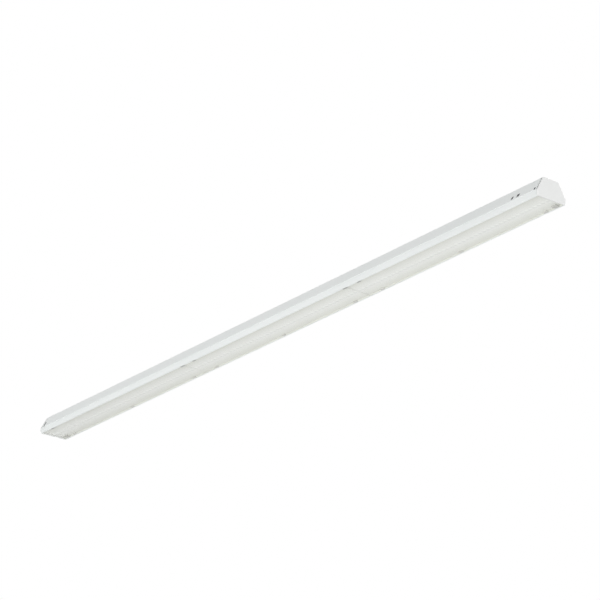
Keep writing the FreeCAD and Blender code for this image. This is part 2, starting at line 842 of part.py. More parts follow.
def driver_terminal(face_x, inward, poles, wire_size):
    """Push-wire terminal on the driver's board, its face in the cover's end and its holes along X."""
    x = sorted((face_x, face_x + inward * terminal_length))
    body = box(x, around(0, terminal_width(poles)), (driver_board_top, terminal_top))
    holes = [
        rod(wire_size + 2 * wire_clearance, Vector(face_x, y, terminal_wire_z),
            Vector(face_x + inward * terminal_hold, y, terminal_wire_z))
        for y in pole_offsets(poles)
    ]
    return body.cut(holes)


def driver_transformer():
    """Transformer on the driver's board: a ferrite core with its winding proud of both sides."""
    x = driver_x[0] + transformer_setback
    top = driver_ceiling - transformer_headroom
    core = box(around(x, transformer_length), around(0, transformer_width), (driver_board_top, top))
    winding_z = (driver_board_top + winding_step, top - winding_step)
    return joined(core, box(around(x, winding_length), around(0, winding_width), winding_z))


def driver_capacitors():
    """Capacitors lying along the driver's board."""
    diameter = driver_ceiling - capacitor_headroom - driver_board_top
    z = driver_board_top + diameter / 2
    return group(
        rod(diameter, Vector(driver_x[0] + setback, 0, z),
            Vector(driver_x[0] + setback + capacitor_length, 0, z))
        for setback in capacitor_setbacks
    )


def driver_screws():
    """Screws through the driver's tabs into the tray."""
    seat = web_top + driver_sheet
    return group(
        screw(driver_screw_head, driver_screw_head_height, driver_screw_shank, driver_screw_length,
              Vector(x, y, seat), points_up=False)
        for x, y in driver_screw_places()
    )


def block_screw_places():
    """Where the terminal block's ears are screwed to the tray."""
    y = block_half + block_ear / 2
    return [(block_x, -y), (block_x, y)]


def mains_terminal_block():
    """Terminal block with a pole for each through wire, wire holes in both faces and screws in its top."""
    faces = around(block_x, block_length)
    top = web_top + block_height
    body = box(faces, (-block_half, block_half), (web_top, top))
    ears = box(around(block_x, block_ear), around(0, 2 * (block_half + block_ear)),
               (web_top, web_top + block_ear_height))
    bore = wire_diameter + 2 * wire_clearance
    upper, lower = web_top + block_upper_hole, web_top + block_lower_hole
    cuts = []
    for y in pole_ys:
        for x, inward, z in ((faces[1], -1, upper), (faces[1], -1, lower), (faces[0], 1, upper)):
            cuts.append(rod(bore, Vector(x, y, z), Vector(x + inward * block_hold, y, z)))
        sink = clamp_screw + 2 * clamp_screw_clearance
        cuts.append(upright(sink, block_x, y, (top - clamp_screw_height, top)))
    ear_through = (web_top, web_top + block_ear_height)
    cuts += [upright(block_screw_hole, x, y, ear_through) for x, y in block_screw_places()]
    return joined(body, ears).cut(cuts)


def terminal_clamp_screws():
    """Slotted clamp screws sunk in the terminal block's top."""
    top = web_top + block_height
    screws = []
    for y in pole_ys:
        barrel = upright(clamp_screw, block_x, y, (top - clamp_screw_height, top))
        slot_z = (top - clamp_slot_depth, top)
        screws.append(barrel.cut(box(around(block_x, clamp_screw), around(y, clamp_slot_width), slot_z)))
    return group(screws)


def terminal_block_screws():
    """Screws through the terminal block's ears into the tray."""
    seat = web_top + block_ear_height
    length = board_screw_length + block_ear_height
    return group(
        screw(board_screw_head, board_screw_head_height, board_screw_shank, length,
              Vector(x, y, seat), points_up=False)
        for x, y in block_screw_places()
    )


def block_exit(pole, height):
    """First two points of a wire from the terminal block's right face: inside it, then straight out."""
    face = block_x + block_length / 2
    z = web_top + height
    y = pole_ys[pole]
    return [Vector(face - block_hold + wire_clearance, y, z), Vector(face + wire_straight, y, z)]


def through_wire(pole):
    """Wire from the terminal block up to the rail's top and along it to the connector."""
    start, bend = block_exit(pole, block_upper_hole)
    y, z = wire_ys[pole], -wire_drop
    top = Vector(bend.x + wire_rise, y, z)
    return wire([start, bend, top, Vector(socket_x[0] + socket_hold, y, z)], wire_diameter)


def tap_wire(pole, driver_pole):
    """Wire from the terminal block to the driver's input terminal."""
    start, bend = block_exit(pole, block_lower_hole)
    y = pole_offsets(input_poles)[driver_pole]
    end = Vector(driver_x[0] + terminal_hold - wire_clearance, y, terminal_wire_z)
    return wire([start, bend, Vector(driver_x[0] - wire_straight, y, terminal_wire_z), end], wire_diameter)


def wire_combs():
    """Combs under the rail's top that hold the through wires side by side."""
    half_wire = wire_diameter / 2 + wire_clearance
    y = (wire_ys[0] - half_wire - comb_margin, wire_ys[-1] + half_wire + comb_margin)
    first = module_middles[0] + module_length / 4
    room = socket_x[0] - comb_length - first
    combs = []
    for i in range(int(room // comb_spacing) + 1):
        x = around(first + i * comb_spacing, comb_length)
        comb = box(x, y, (-comb_depth, -rail_sheet))
        cuts = []
        for wire_y in wire_ys:
            ends = [Vector(end, wire_y, -wire_drop) for end in x]
            cuts.append(rod(2 * half_wire, *ends))
            cuts.append(box(x, around(wire_y, comb_mouth), (-comb_depth, -wire_drop)))
        combs.append(comb.cut(cuts))
    return group(combs)


def output_lead(pole):
    """Lead from the driver's output terminal down through the tray to the feed connector."""
    y = pole_offsets(output_poles)[pole]
    x = around(feed_x, connector_pitch)[pole]
    face_y = -connector_offset - connector_width / 2
    points = [
        Vector(driver_x[1] - terminal_hold + wire_clearance, y, terminal_wire_z),
        Vector(x, y, terminal_wire_z),
        Vector(x, feed_y, terminal_wire_z),
        Vector(x, feed_y, connector_z),
        Vector(x, face_y + link_hold - wire_clearance, connector_z),
    ]
    return wire(points, lead_diameter, lead_bend)


def lead_grommet():
    """Rubber grommet in the tray's web, where the output leads go through."""
    bore, flange = grommet_bore / 2, grommet_flange / 2
    groove = grommet_hole / 2 - grommet_clearance
    upper, lower = web_top + grommet_clearance, web_under - grommet_clearance
    top, foot = upper + grommet_flange_height, lower - grommet_flange_height
    ring = turned_solid([
        (bore, foot), (flange, foot), (flange, lower), (groove, lower),
        (groove, upper), (flange, upper), (flange, top), (bore, top),
    ])
    return ring.translate(Vector(feed_x, feed_y, 0))


def earth_lead():
    """Earth wire from the terminal block into the ring terminal's barrel."""
    start, bend = block_exit(block_poles - 1, block_lower_hole)
    z = web_top + earth_barrel_height
    return wire([start, bend, Vector(earth_barrel_x - wire_straight / 2, earth_y, z),
                 Vector(earth_barrel_x + earth_barrel_length, earth_y, z)], wire_diameter)


def earth_ring_terminal():
    """Ring under the earth screw, with a neck to the barrel that grips the earth wire."""
    flat = (web_top, web_top + earth_ring_sheet)
    z = web_top + earth_barrel_height
    ends = [Vector(x, earth_y, z) for x in (earth_barrel_x, earth_barrel_x + earth_barrel_length)]
    ring = upright(earth_ring, earth_x, earth_y, flat)
    neck = box((earth_barrel_x + earth_barrel_length / 2, earth_x), around(earth_y, earth_neck), flat)
    terminal = joined(ring, neck, rod(earth_barrel, *ends))
    return terminal.cut([
        rod(wire_diameter + 2 * wire_clearance, *ends),
        upright(earth_ring_hole, earth_x, earth_y, flat),
    ])


def earth_washer():
    """Spring washer between the earth screw's head and the ring terminal."""
    z = (web_top + earth_ring_sheet, web_top + earth_ring_sheet + earth_washer_height)
    disc = upright(earth_ring, earth_x, earth_y, z)
    return disc.cut(upright(earth_ring_hole, earth_x, earth_y, z))


def earth_screw():
    """Screw that joins the earth wire to the tray."""
    seat = Vector(earth_x, earth_y, web_top + earth_ring_sheet + earth_washer_height)
    return screw(earth_screw_head, earth_screw_head_height, earth_screw_shank, earth_screw_length,
                 seat, points_up=False)


def contact_ys():
    """Y of each contact of the through-wiring connector."""
    return [(i - (block_poles - 1) / 2) * contact_pitch for i in range(block_poles)]


def contact_z():
    """Height of the contacts: midway between the wires and the connector's foot."""
    return (socket_foot - wire_drop) / 2


def connector_socket():
    """Connector under the rail's top, held by latches that fill the windows in both walls."""
    half_width = wall_inside(-rail_sheet) - socket_side_gap
    body = box(socket_x, (-half_width, half_width), (socket_foot, -rail_sheet))
    latch_z = around(-latch_window_drop, latch_window_height)
    inner = half_width - hook_recess
    latches = [latch for x in latch_window_ranges() for latch in in_window(x, latch_z, inner)]
    bore = wire_diameter + 2 * wire_clearance
    hole_end = socket_x[0] + socket_hold + wire_clearance
    cuts = [rod(bore, Vector(socket_x[0], y, -wire_drop), Vector(hole_end, y, -wire_drop)) for y in wire_ys]
    cavity = contact_diameter + 2 * contact_clearance
    depth = contact_inset + contact_length
    cuts += [
        rod(cavity, Vector(socket_x[1] - depth, y, contact_z()), Vector(socket_x[1], y, contact_z()))
        for y in contact_ys()
    ]
    return joined(body, *latches).cut(cuts)


def connector_contacts():
    """Brass sockets inside the connector, open towards its right face."""
    face = socket_x[1] - contact_inset
    start = face - contact_length
    z = contact_z()
    tubes = []
    for y in contact_ys():
        tube = rod(contact_diameter, Vector(start, y, z), Vector(face, y, z))
        tubes.append(tube.cut(rod(contact_bore, Vector(start + contact_floor, y, z), Vector(face, y, z))))
    return group(tubes)


def all_nodes():
    """Every piece of the light by its node name."""
    nodes = {
        "trunking_rail": trunking_rail(),
        "gear_tray": gear_tray(),
        "end_cap_left": end_cap_left(),
        "end_cap_right": end_cap_right(),
        "cap_snaps": cap_snaps(),
        "tray_clips": tray_clips(),
        "tray_clip_rivets": tray_clip_rivets(),
        "board_screws": board_screws(),
        "board_connectors": board_connectors(),
        "link_wires_negative": link_wires(0),
        "link_wires_positive": link_wires(1),
        "lens_retainers": lens_retainers(),
        "driver_base": driver_base(),
        "driver_cover": driver_cover(),
        "driver_board": driver_board(),
        "driver_input_terminal": driver_terminal(driver_x[0], 1, input_poles, wire_diameter),
        "driver_output_terminal": driver_terminal(driver_x[1], -1, output_poles, lead_diameter),
        "driver_transformer": driver_transformer(),
        "driver_capacitors": driver_capacitors(),
        "driver_screws": driver_screws(),
        "mains_terminal_block": mains_terminal_block(),
        "terminal_clamp_screws": terminal_clamp_screws(),
        "terminal_block_screws": terminal_block_screws(),
        "tap_wire_live": tap_wire(0, 0),
        "tap_wire_neutral": tap_wire(3, 1),
        "wire_combs": wire_combs(),
        "output_lead_negative": output_lead(0),
        "output_lead_positive": output_lead(1),
        "lead_grommet": lead_grommet(),
        "earth_lead": earth_lead(),
        "earth_ring_terminal": earth_ring_terminal(),
        "earth_washer": earth_washer(),
        "earth_screw": earth_screw(),
        "connector_socket": connector_socket(),
        "connector_contacts": connector_contacts(),
    }
    for number, middle in enumerate(module_middles, start=1):
        nodes[f"led_board_{number}"] = led_board(middle)
        nodes[f"led_packages_{number}"] = led_packages(middle)
        nodes[f"lens_plate_{number}"] = lens_plate(middle)
    for pole, name in enumerate(("brown", "black", "grey", "blue", "earth")):
        nodes[f"through_wire_{name}"] = through_wire(pole)
    return nodes


os.makedirs("parts", exist_ok=True)
for node_name, shape in all_nodes().items():
    shape.exportStep(f"parts/{node_name}.step")
    print(f"{node_name}: {len(shape.Solids)} solid(s), {shape.Volume:.0f} mm3, valid {shape.isValid()}")
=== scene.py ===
# %% [markdown]
# # Dressing an LED trunking light
# This light is a long folded steel rail with leaning walls. A shallow steel tray closes it from below,
# satin lens plates in the tray cover a row of LEDs, and a plastic cap ends it on each side. It could be
# modelled here from nothing, but an engineering model already has every solid piece at its true size, so
# that is loaded and left where it is. The lesson then adds the camera, the light, the finishes, and the
# pieces that repeat, which get more detail than the engineering model gives them.

# %% Load the engineering model
import math

import bmesh
import bpy
from mathutils import Matrix, Vector


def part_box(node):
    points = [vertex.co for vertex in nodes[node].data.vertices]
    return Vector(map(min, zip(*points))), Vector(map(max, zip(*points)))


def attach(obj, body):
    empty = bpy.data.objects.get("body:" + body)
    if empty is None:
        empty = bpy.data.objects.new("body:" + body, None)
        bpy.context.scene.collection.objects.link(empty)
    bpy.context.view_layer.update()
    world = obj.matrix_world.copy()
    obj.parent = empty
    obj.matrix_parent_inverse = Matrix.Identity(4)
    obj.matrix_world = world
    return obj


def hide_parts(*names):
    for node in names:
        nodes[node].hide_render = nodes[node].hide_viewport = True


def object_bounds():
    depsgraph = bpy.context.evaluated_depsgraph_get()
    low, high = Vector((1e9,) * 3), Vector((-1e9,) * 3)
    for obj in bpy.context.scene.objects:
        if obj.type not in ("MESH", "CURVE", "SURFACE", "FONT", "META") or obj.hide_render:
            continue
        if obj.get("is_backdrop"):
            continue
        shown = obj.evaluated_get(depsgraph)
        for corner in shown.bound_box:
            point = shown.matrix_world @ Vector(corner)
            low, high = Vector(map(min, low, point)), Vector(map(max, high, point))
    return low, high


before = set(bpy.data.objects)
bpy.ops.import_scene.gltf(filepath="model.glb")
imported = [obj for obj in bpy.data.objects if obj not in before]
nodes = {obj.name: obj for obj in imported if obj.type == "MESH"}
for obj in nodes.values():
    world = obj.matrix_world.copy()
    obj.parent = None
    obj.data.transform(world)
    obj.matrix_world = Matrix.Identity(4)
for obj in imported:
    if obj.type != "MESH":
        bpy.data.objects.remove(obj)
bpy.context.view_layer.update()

MM = 0.001
scene = bpy.context.scene

# %% [markdown]
# ## Two small tools
# Colours are written as sRGB hex values, as in a paint chart, but shader sockets take linear light, so
# one function converts them. Nodes could be placed by hand in the editor, but a script can be read and
# run again. So another function adds a node to a tree and fills its sockets, either with a value or with
# a link. Every material and every Geometry Nodes tree below is built with it.


# %% Colour and node helpers
def linear(code):
    """The linear RGBA of an sRGB hex colour."""
    channels = [int(code[i:i + 2], 16) / 255 for i in (1, 3, 5)]
    return (*(c / 12.92 if c <= 0.04045 else ((c + 0.055) / 1.055) ** 2.4 for c in channels), 1.0)


def add(tree, kind, sockets=None, **settings):
    """Adds a node; sockets are filled by name or index with a value, an output or a list of outputs."""
    node = tree.nodes.new(kind)
    for name, value in settings.items():
        setattr(node, name, value)
    for key, value in (sockets or {}).items():
        for item in value if isinstance(value, list) else [value]:
            if isinstance(item, bpy.types.NodeSocket):
                tree.links.new(item, node.inputs[key])
            else:
                node.inputs[key].default_value = item
    return node


print("a mid grey of #808080 is", round(linear("#808080")[0], 3), "in linear light")

# %% [markdown]
# ## Camera
# The photograph looks up at the light from its right-hand end with a long lens. A camera could be aimed
# by eye, or tracked to an empty object. Here its place, angles and focal length were fitted to the
# straight edges of rail, tray and cap, so it is placed with those numbers and needs no aiming.

# %% Camera at the photograph's angle
AZIMUTH, ELEVATION = math.radians(51.13), math.radians(22.96)
CAMERA_PLACE = Vector((3.683, -2.894, -1.952))
forward = Vector((
    -math.sin(AZIMUTH) * math.cos(ELEVATION),
    math.cos(AZIMUTH) * math.cos(ELEVATION),
    math.sin(ELEVATION),
))
camera_data = bpy.data.cameras.new("photo_camera")
camera_data.lens = 142.5
camera_data.sensor_width = 36.0
camera_data.clip_end = 200.0
camera = bpy.data.objects.new("photo_camera", camera_data)
camera.location = CAMERA_PLACE
camera.rotation_euler = forward.to_track_quat("-Z", "Y").to_euler()
scene.collection.objects.link(camera)
scene.camera = camera
scene.view_settings.view_transform = "Standard"
print("camera", round(CAMERA_PLACE.length, 2), "m from the light's middle")

# %% [markdown]
# ## Even light from all round
# A pale product on white needs very soft light, or its edges vanish. A picture of a studio could give
# that, but a plain world colour needs no file and is the same from every side. It lights the object at a
# moderate level, and is pure white only where the camera, a reflection or a clear piece looks at it, so
# that the background is white without washing out the paint.


# %% World
def seen_rays(tree):
    """One where the camera, a reflection or a clear piece looks, and nought where light only bounces."""
    path = add(tree, "ShaderNodeLightPath").outputs
    seen = path["Is Camera Ray"]
    for kind in ("Is Glossy Ray", "Is Transmission Ray"):
        seen = add(tree, "ShaderNodeMath", {0: seen, 1: path[kind]}, operation="MAXIMUM").outputs[0]
    return seen


AMBIENT = 0.44
world = bpy.data.worlds.new("soft_studio")
world.use_nodes = True
scene.world = world
sky = world.node_tree
sky.nodes.clear()
even = add(sky, "ShaderNodeBackground", {"Color": linear("#FFFFFF"), "Strength": AMBIENT})
white = add(sky, "ShaderNodeBackground", {"Color": linear("#FFFFFF"), "Strength": 1.0})
mixed = add(sky, "ShaderNodeMixShader", {0: seen_rays(sky), 1: even.outputs[0], 2: white.outputs[0]})
add(sky, "ShaderNodeOutputWorld", {"Surface": mixed.outputs[0]})
print("world strength", AMBIENT)

# %% [markdown]
# ## Lamps
# The lamps give each face its own tone. Small or far lamps would draw hard edges on such pale paint, so
# five broad area lamps are used. The key, in front and below, brightens the tray's upright wall, which is
# the brightest band in the photograph. A fill beyond the right-hand end lights the cap, a weaker one
# lights the left half, a weak one below lifts the underside, and one behind and above shows the back.

# %% Five soft lamps
# Each lamp's place and width in metres, and its power in watts.
LAMPS = {
    "key": ((0.4, -2.6, -1.6), 1.8, 40.0),
    "end_fill": ((4.2, -0.4, -0.6), 2.0, 66.0),
    "left_fill": ((-1.5, -2.4, -0.4), 1.4, 15.0),
    "under_fill": ((0.2, 1.2, -1.8), 1.4, 6.0),
    "back_fill": ((-0.6, 3.0, 1.8), 2.4, 46.0),
}
for name, (place, size, watts) in LAMPS.items():
    data = bpy.data.lights.new(name, "AREA")
    data.size = size
    data.energy = watts
    lamp = bpy.data.objects.new(name, data)
    lamp.location = place
    lamp.rotation_euler = (-Vector(place)).to_track_quat("-Z", "Y").to_euler()
    lamp.visible_camera = False
    scene.collection.objects.link(lamp)

# %% [markdown]
# ## Floor
# The light hangs under a ceiling, so its floor lies far below, under the camera too. A big plane would
# do, but a disc shows no corner on the horizon. It is matt white paint that takes the object's shadow.
# Where it is looked at, it also glows a little, so that it is as white as the background.

# %% White floor
FLOOR_Z = -8.0
FLOOR_RADIUS = 40.0
FLOOR_SIDES = 96
FLOOR_LIFT = 0.8
turns = [2 * math.pi * i / FLOOR_SIDES for i in range(FLOOR_SIDES)]
rim = [(FLOOR_RADIUS * math.cos(a), FLOOR_RADIUS * math.sin(a), FLOOR_Z) for a in turns]
floor_mesh = bpy.data.meshes.new("floor")
floor_mesh.from_pydata(rim, [], [list(range(FLOOR_SIDES))])
floor = bpy.data.objects.new("floor", floor_mesh)
scene.collection.objects.link(floor)
# Matt wall paint: a plain white with no highlight at all, so it needs no roughness and no grain.
floor_paint = bpy.data.materials.new("matt_white_floor")
floor_paint.use_nodes = True
tree = floor_paint.node_tree
tree.nodes.clear()
matt = add(tree, "ShaderNodeBsdfDiffuse", {"Color": linear("#E6E6E6")})
lift = add(tree, "ShaderNodeMath", {0: seen_rays(tree), 1: FLOOR_LIFT}, operation="MULTIPLY")
glow = add(tree, "ShaderNodeEmission", {"Color": linear("#FFFFFF"), "Strength": lift.outputs[0]})
both = add(tree, "ShaderNodeAddShader", {0: matt.outputs[0], 1: glow.outputs[0]})
add(tree, "ShaderNodeOutputMaterial", {"Surface": both.outputs[0]})
floor_mesh.materials.append(floor_paint)
floor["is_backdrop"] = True
print("floor at", FLOOR_Z, "m")

# %% [markdown]
# ## Finishes
# No real surface is even: its tone drifts, its gloss changes with it, and it has a fine relief. Image
# textures could show that, but they need unwrapping and files. Noise on Object coordinates needs neither.
# These are metres here, so a pattern of so many millimetres gets one over that length as its scale. One
# function builds the recipe, and a finish that needs more, such as a striped wire, adds nodes to it.

# %% The recipe that the finishes share
NOISE_LOW, NOISE_HIGH = 0.3, 0.7  # nearly all of a noise lies between these
PATCH_DETAIL = 3.0
GRAIN_DETAIL = 2.0


def finish(name, tones, tone_mm, roughness, grain_mm, depth_mm, stretch=(1, 1, 1), sockets=None):
    """A material with two tones in patches of tone_mm, and a relief of grain_mm that is depth_mm high."""
    material = bpy.data.materials.new(name)
    material.use_nodes = True
    tree = material.node_tree
    tree.nodes.clear()
    place = add(tree, "ShaderNodeTexCoord", name="place").outputs["Object"]
    place = add(tree, "ShaderNodeMapping", {"Vector": place, "Scale": stretch}).outputs[0]
    patches = add(tree, "ShaderNodeTexNoise",
                  {"Vector": place, "Scale": 1 / (tone_mm * MM), "Detail": PATCH_DETAIL}).outputs["Fac"]
    noise_range = {"Value": patches, "From Min": NOISE_LOW, "From Max": NOISE_HIGH}
    share = add(tree, "ShaderNodeMapRange", noise_range)
    tone = add(tree, "ShaderNodeMix", {0: share.outputs[0], 6: linear(tones[0]), 7: linear(tones[1])},
               data_type="RGBA", name="tone")
    gloss = add(tree, "ShaderNodeMapRange",
                {**noise_range, "To Min": roughness[0], "To Max": roughness[1]})
    grain = add(tree, "ShaderNodeTexNoise",
                {"Vector": place, "Scale": 1 / (grain_mm * MM), "Detail": GRAIN_DETAIL})
    relief = add(tree, "ShaderNodeBump", {"Height": grain.outputs["Fac"], "Distance": depth_mm * MM})
    shader = add(tree, "ShaderNodeBsdfPrincipled",
                 {"Base Color": tone.outputs[2], "Roughness": gloss.outputs[0],
                  "Normal": relief.outputs[0], **(sockets or {})}, name="shader")
    add(tree, "ShaderNodeOutputMaterial", {"Surface": shader.outputs[0]})
    return material


print("a pattern of 2 mm has a scale of", 1 / (2 * MM))

# %% [markdown]
# ### Painted steel
# Rail and tray are folded from thin sheet and powder coated. A plain white shader would look like paper,
# so the recipe gives the coat its soft sheen and its orange peel.

# %% Powder coat
# Baked powder: an almost white, faintly cool skin with a soft sheen. Its orange peel of about 2 mm has
# its real size. The tone drifts over 140 mm, coarser than the real coat, because finer would not show.
powder_coat = finish("powder_coated_steel", ("#EDF1F0", "#F1F4F3"), 140, (0.40, 0.48), 2.2, 0.010)
print(powder_coat.name)

# %% [markdown]
# ### End caps and covers
# The caps and the driver's cover are moulded in white plastic, and a rubber grommet guards the leads. The
# mould's texture could be modelled, but it is far too fine, so the recipe's relief stands for it.

# %% White plastics and rubber
# ABS from a spark-eroded mould: neutral white, duller than the paint. Grit of 0.1 mm is drawn at 0.8 mm.
cap_plastic = finish("moulded_abs", ("#EDEEED", "#F0F1F0"), 30, (0.46, 0.54), 0.8, 0.012)
# Polycarbonate: a clean white satin. Its grain is drawn at 0.8 mm too, coarser than it is, to show.
cover_plastic = finish("white_polycarbonate", ("#EFEFED", "#F3F3F1"), 25, (0.4, 0.5), 0.8, 0.012)
# EPDM rubber: black, with hardly any highlight. Its dusty bloom is drawn at 0.6 mm to show.
rubber = finish("black_epdm_rubber", ("#1B1B1C", "#232324"), 4, (0.75, 0.88), 0.6, 0.02)
print(cap_plastic.name, cover_plastic.name, rubber.name)

# %% [markdown]
# ### Nylon pieces
# Snaps, connector, terminals, combs and the plates' retainers are nylon, which is tough and springy. One
# grey for all would be simpler, but the photograph shows the latches nearly black and the retainers as
# dashes of three tones, so each kind gets a tone of its own. The retainers' front and back tones are
# painted shade and painted light.

# %% Five kinds of nylon
# With glass fibres: nearly black, with a broken dull sheen. Fibres are drawn at 0.9 mm, coarser than real.
dark_nylon = finish("glass_filled_nylon", ("#2B2C2E", "#36373A"), 6, (0.45, 0.6), 0.9, 0.02)
# Grey for the locks, a paler copy for the back retainers as painted light, and a darker copy for the
# front ones as painted shade: soft greys with a waxy shine. Grain coarser than real too.
grey_nylon = finish("pale_grey_nylon", ("#C6C6C1", "#CDCDC8"), 8, (0.4, 0.52), 0.9, 0.015)
back_nylon_painted_light = finish("back_nylon_painted_light", ("#D1D1CC", "#D8D8D3"), 8, (0.4, 0.52), 0.9, 0.015)
front_nylon_painted_shade = finish("retainer_front_painted_shade", ("#A9AAA7", "#B1B2AF"), 8, (0.4, 0.52), 0.9, 0.015)
# Undyed: creamy and slightly waxy. Its moulding ripple is drawn at 1.2 mm, coarser than real, to show.
natural_nylon = finish("natural_nylon", ("#E6E3D6", "#EFECE1"), 10, (0.38, 0.5), 1.2, 0.015)
print(dark_nylon.name, grey_nylon.name, back_nylon_painted_light.name, front_nylon_painted_shade.name, natural_nylon.name)

# %% [markdown]
# ### Satin acrylic
# The lens plates are injection moulded PMMA with white filler, so that no single LED dazzles. Clear glass
# with a fog inside would be the literal way, but it is slow and noisy to render. The filler scatters
# nearly all the light, so a pale base colour does most of the work, and a small transmission lets a
# little through. The middle over the boards looks lightest, so a painted shade darkens the tone towards
# both edges.


# %% Lens acrylic
def off_middle(tree):
    """How far a point lies from the plane through the middle of the light."""
    axes = add(tree, "ShaderNodeSeparateXYZ", {0: tree.nodes["place"].outputs["Object"]}).outputs
    return add(tree, "ShaderNodeMath", {0: axes["Y"]}, operation="ABSOLUTE").outputs[0]


def overlay(material, share, colour, blend="MIX"):
    """Lays a colour over a finish's own tone, by a share from nought to one."""
    tree = material.node_tree
    mixed = add(tree, "ShaderNodeMix", {0: share, 6: tree.nodes["tone"].outputs[2], 7: colour},
                data_type="RGBA", blend_type=blend)
    tree.links.new(mixed.outputs[2], tree.nodes["shader"].inputs["Base Color"])


# Filled PMMA: milky, warm white with a smooth soft gloss. Its shallow moulding waves are 6 mm long.
acrylic = finish("satin_acrylic", ("#FBFDF8", "#FCFEFA"), 60, (0.14, 0.2), 6, 0.008,
                 sockets={"Transmission Weight": 0.04, "IOR": 1.49})
plate_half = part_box("lens_plate_2")[1].y
# Painted shade: the plate's tone darkens towards both edges, so that its middle over the boards looks lit.
edge_painted_shade = add(acrylic.node_tree, "ShaderNodeMapRange",
           {"Value": off_middle(acrylic.node_tree), "From Max": plate_half},
           interpolation_type="SMOOTHSTEP")
overlay(acrylic, edge_painted_shade.outputs[0], linear("#ECEEE6"))
print(acrylic.name, "fades over", round(plate_half / MM, 1), "mm")

# %% [markdown]
# ### Bare metals
# Clips, screws, rivets, solder and contacts are bare metal. Scratches could be painted on, but small parts
# mostly show their gloss. So a metal's colour is its reflectance, it keeps the shader's default IOR, and
# noise that is stretched along one axis gives the lines that rolling and drawing leave.

# %% Steel, zinc, tin and brass
METAL = {"Metallic": 1.0}
DRAWN_OUT = 0.1  # noise is ten times as long along a line as across it
# Rolled spring strip: mid grey with lines along the roll, drawn 1 mm apart because real ones are too fine.
spring_steel = finish("rolled_spring_steel", ("#B4B7BA", "#C2C5C8"), 5, (0.24, 0.36), 1.0, 0.004,
                      stretch=(1, DRAWN_OUT, 1), sockets=METAL)
# Zinc plating: bluish silver with a mottled bloom of 3 mm. Its crystals are drawn at 1 mm to show.
zinc = finish("zinc_plated_steel", ("#BCC2C6", "#CDD2D5"), 3, (0.28, 0.42), 1.0, 0.004, sockets=METAL)
# Tinned copper and solder: pale, warm silver, a little lumpy. The lumps have their real size.
tin = finish("tinned_copper", ("#C9CACA", "#D6D6D5"), 2, (0.3, 0.45), 0.8, 0.006, sockets=METAL)
# Drawn brass: yellow with lines along the contact, drawn 1 mm apart because real ones are too fine.
brass = finish("drawn_brass", ("#C6A24A", "#D3B15C"), 4, (0.25, 0.38), 1.0, 0.004,
               stretch=(DRAWN_OUT, 1, 1), sockets=METAL)
print(spring_steel.name, zinc.name, tin.name, brass.name)

# %% [markdown]
# ### LED boards
# An LED board has white solder mask over wide copper areas, which show as faintly darker blocks with pale
# gaps between them, as long as the LED pitch. They could be drawn as an image of the tracks. A brick
# pattern at the LED pitch does the same in one node, and it is multiplied into the mask's own tone.

# %% Solder mask, LED body and phosphor
LED_PITCH = 11.65 * MM
COPPER_ROW = 0.3   # height of a copper area, as a share of the pitch
COPPER_GAP = 0.02  # between two of them
# White mask: a clean satin white. Its ripple over the glass cloth is drawn at 1.5 mm to show.
white_mask = finish("white_solder_mask", ("#E9E9E2", "#EEEEE8"), 12, (0.32, 0.42), 1.5, 0.01)
tree = white_mask.node_tree
copper = add(tree, "ShaderNodeTexBrick",
             {"Vector": tree.nodes["place"].outputs["Object"], "Scale": 1 / LED_PITCH,
              "Mortar Size": COPPER_GAP, "Brick Width": 1.0, "Row Height": COPPER_ROW,
              "Color1": linear("#F4F4F4"), "Color2": linear("#EDEDEC"), "Mortar": linear("#FFFFFF")})
overlay(white_mask, 1.0, copper.outputs["Color"], blend="MULTIPLY")
# PPA: a chalky white that reflects the LED's light. Its grain is drawn at 0.6 mm to show.
led_body = finish("white_ppa", ("#ECEBE4", "#F1F0EA"), 2, (0.4, 0.5), 0.6, 0.008)
# Phosphor in silicone: egg yellow with a wet gloss. Its grains are drawn at 0.4 mm to show.
phosphor = finish("phosphor_silicone", ("#E2BE3A", "#EBCB55"), 1, (0.2, 0.3), 0.4, 0.01)
print(white_mask.name, led_body.name, phosphor.name)

# %% [markdown]
# ### Driver parts
# The driver turns mains into the LEDs' current. Its board is green, its capacitors wear a shrunk sleeve,
# and the transformer's core is ferrite. Tracks and joints could be drawn on them, but they are hidden
# when the light is shut, so the plain recipe is enough.

# %% Driver board, sleeves and ferrite
# Green mask: a deep, glossy green. Its ripple is drawn at 1.5 mm to show.
green_mask = finish("green_solder_mask", ("#1D5E36", "#24703F"), 5, (0.3, 0.42), 1.5, 0.02)
# Shrunk PVC film: blue-black and shiny, with soft wrinkles of 1.5 mm.
sleeve = finish("pvc_sleeve", ("#1E222C", "#262B37"), 5, (0.28, 0.36), 1.5, 0.008)
# Sintered ferrite: a dull dark grey, as of slate. Its pores are drawn at 0.7 mm to show.
ferrite = finish("sintered_ferrite", ("#37393B", "#434547"), 3, (0.55, 0.7), 0.7, 0.02)
print(green_mask.name, sleeve.name, ferrite.name)

# %% [markdown]
# ### The transformer's winding
# A taped copper winding stands proud of both sides of the core. Core and winding are one piece in the
# engineering model, and could be cut apart for two materials. It is simpler to let the material ask how
# far out a point lies, and to colour what is further out than the core as amber tape.

# %% Winding
CORE_HALF = 10 * MM
wound = add(ferrite.node_tree, "ShaderNodeMath", {0: off_middle(ferrite.node_tree), 1: CORE_HALF},
            operation="GREATER_THAN")
overlay(ferrite, wound.outputs[0], linear("#C89A3A"))
print("winding outside", CORE_HALF / MM, "mm")

# %% [markdown]
# ### Wires
# PVC insulation is extruded, so it is smooth, softly shiny and even in colour, and its colours are those
# that mains wiring uses. Each could be a material written out in full, but only the tones differ, so a
# table of tones and one loop make them all.

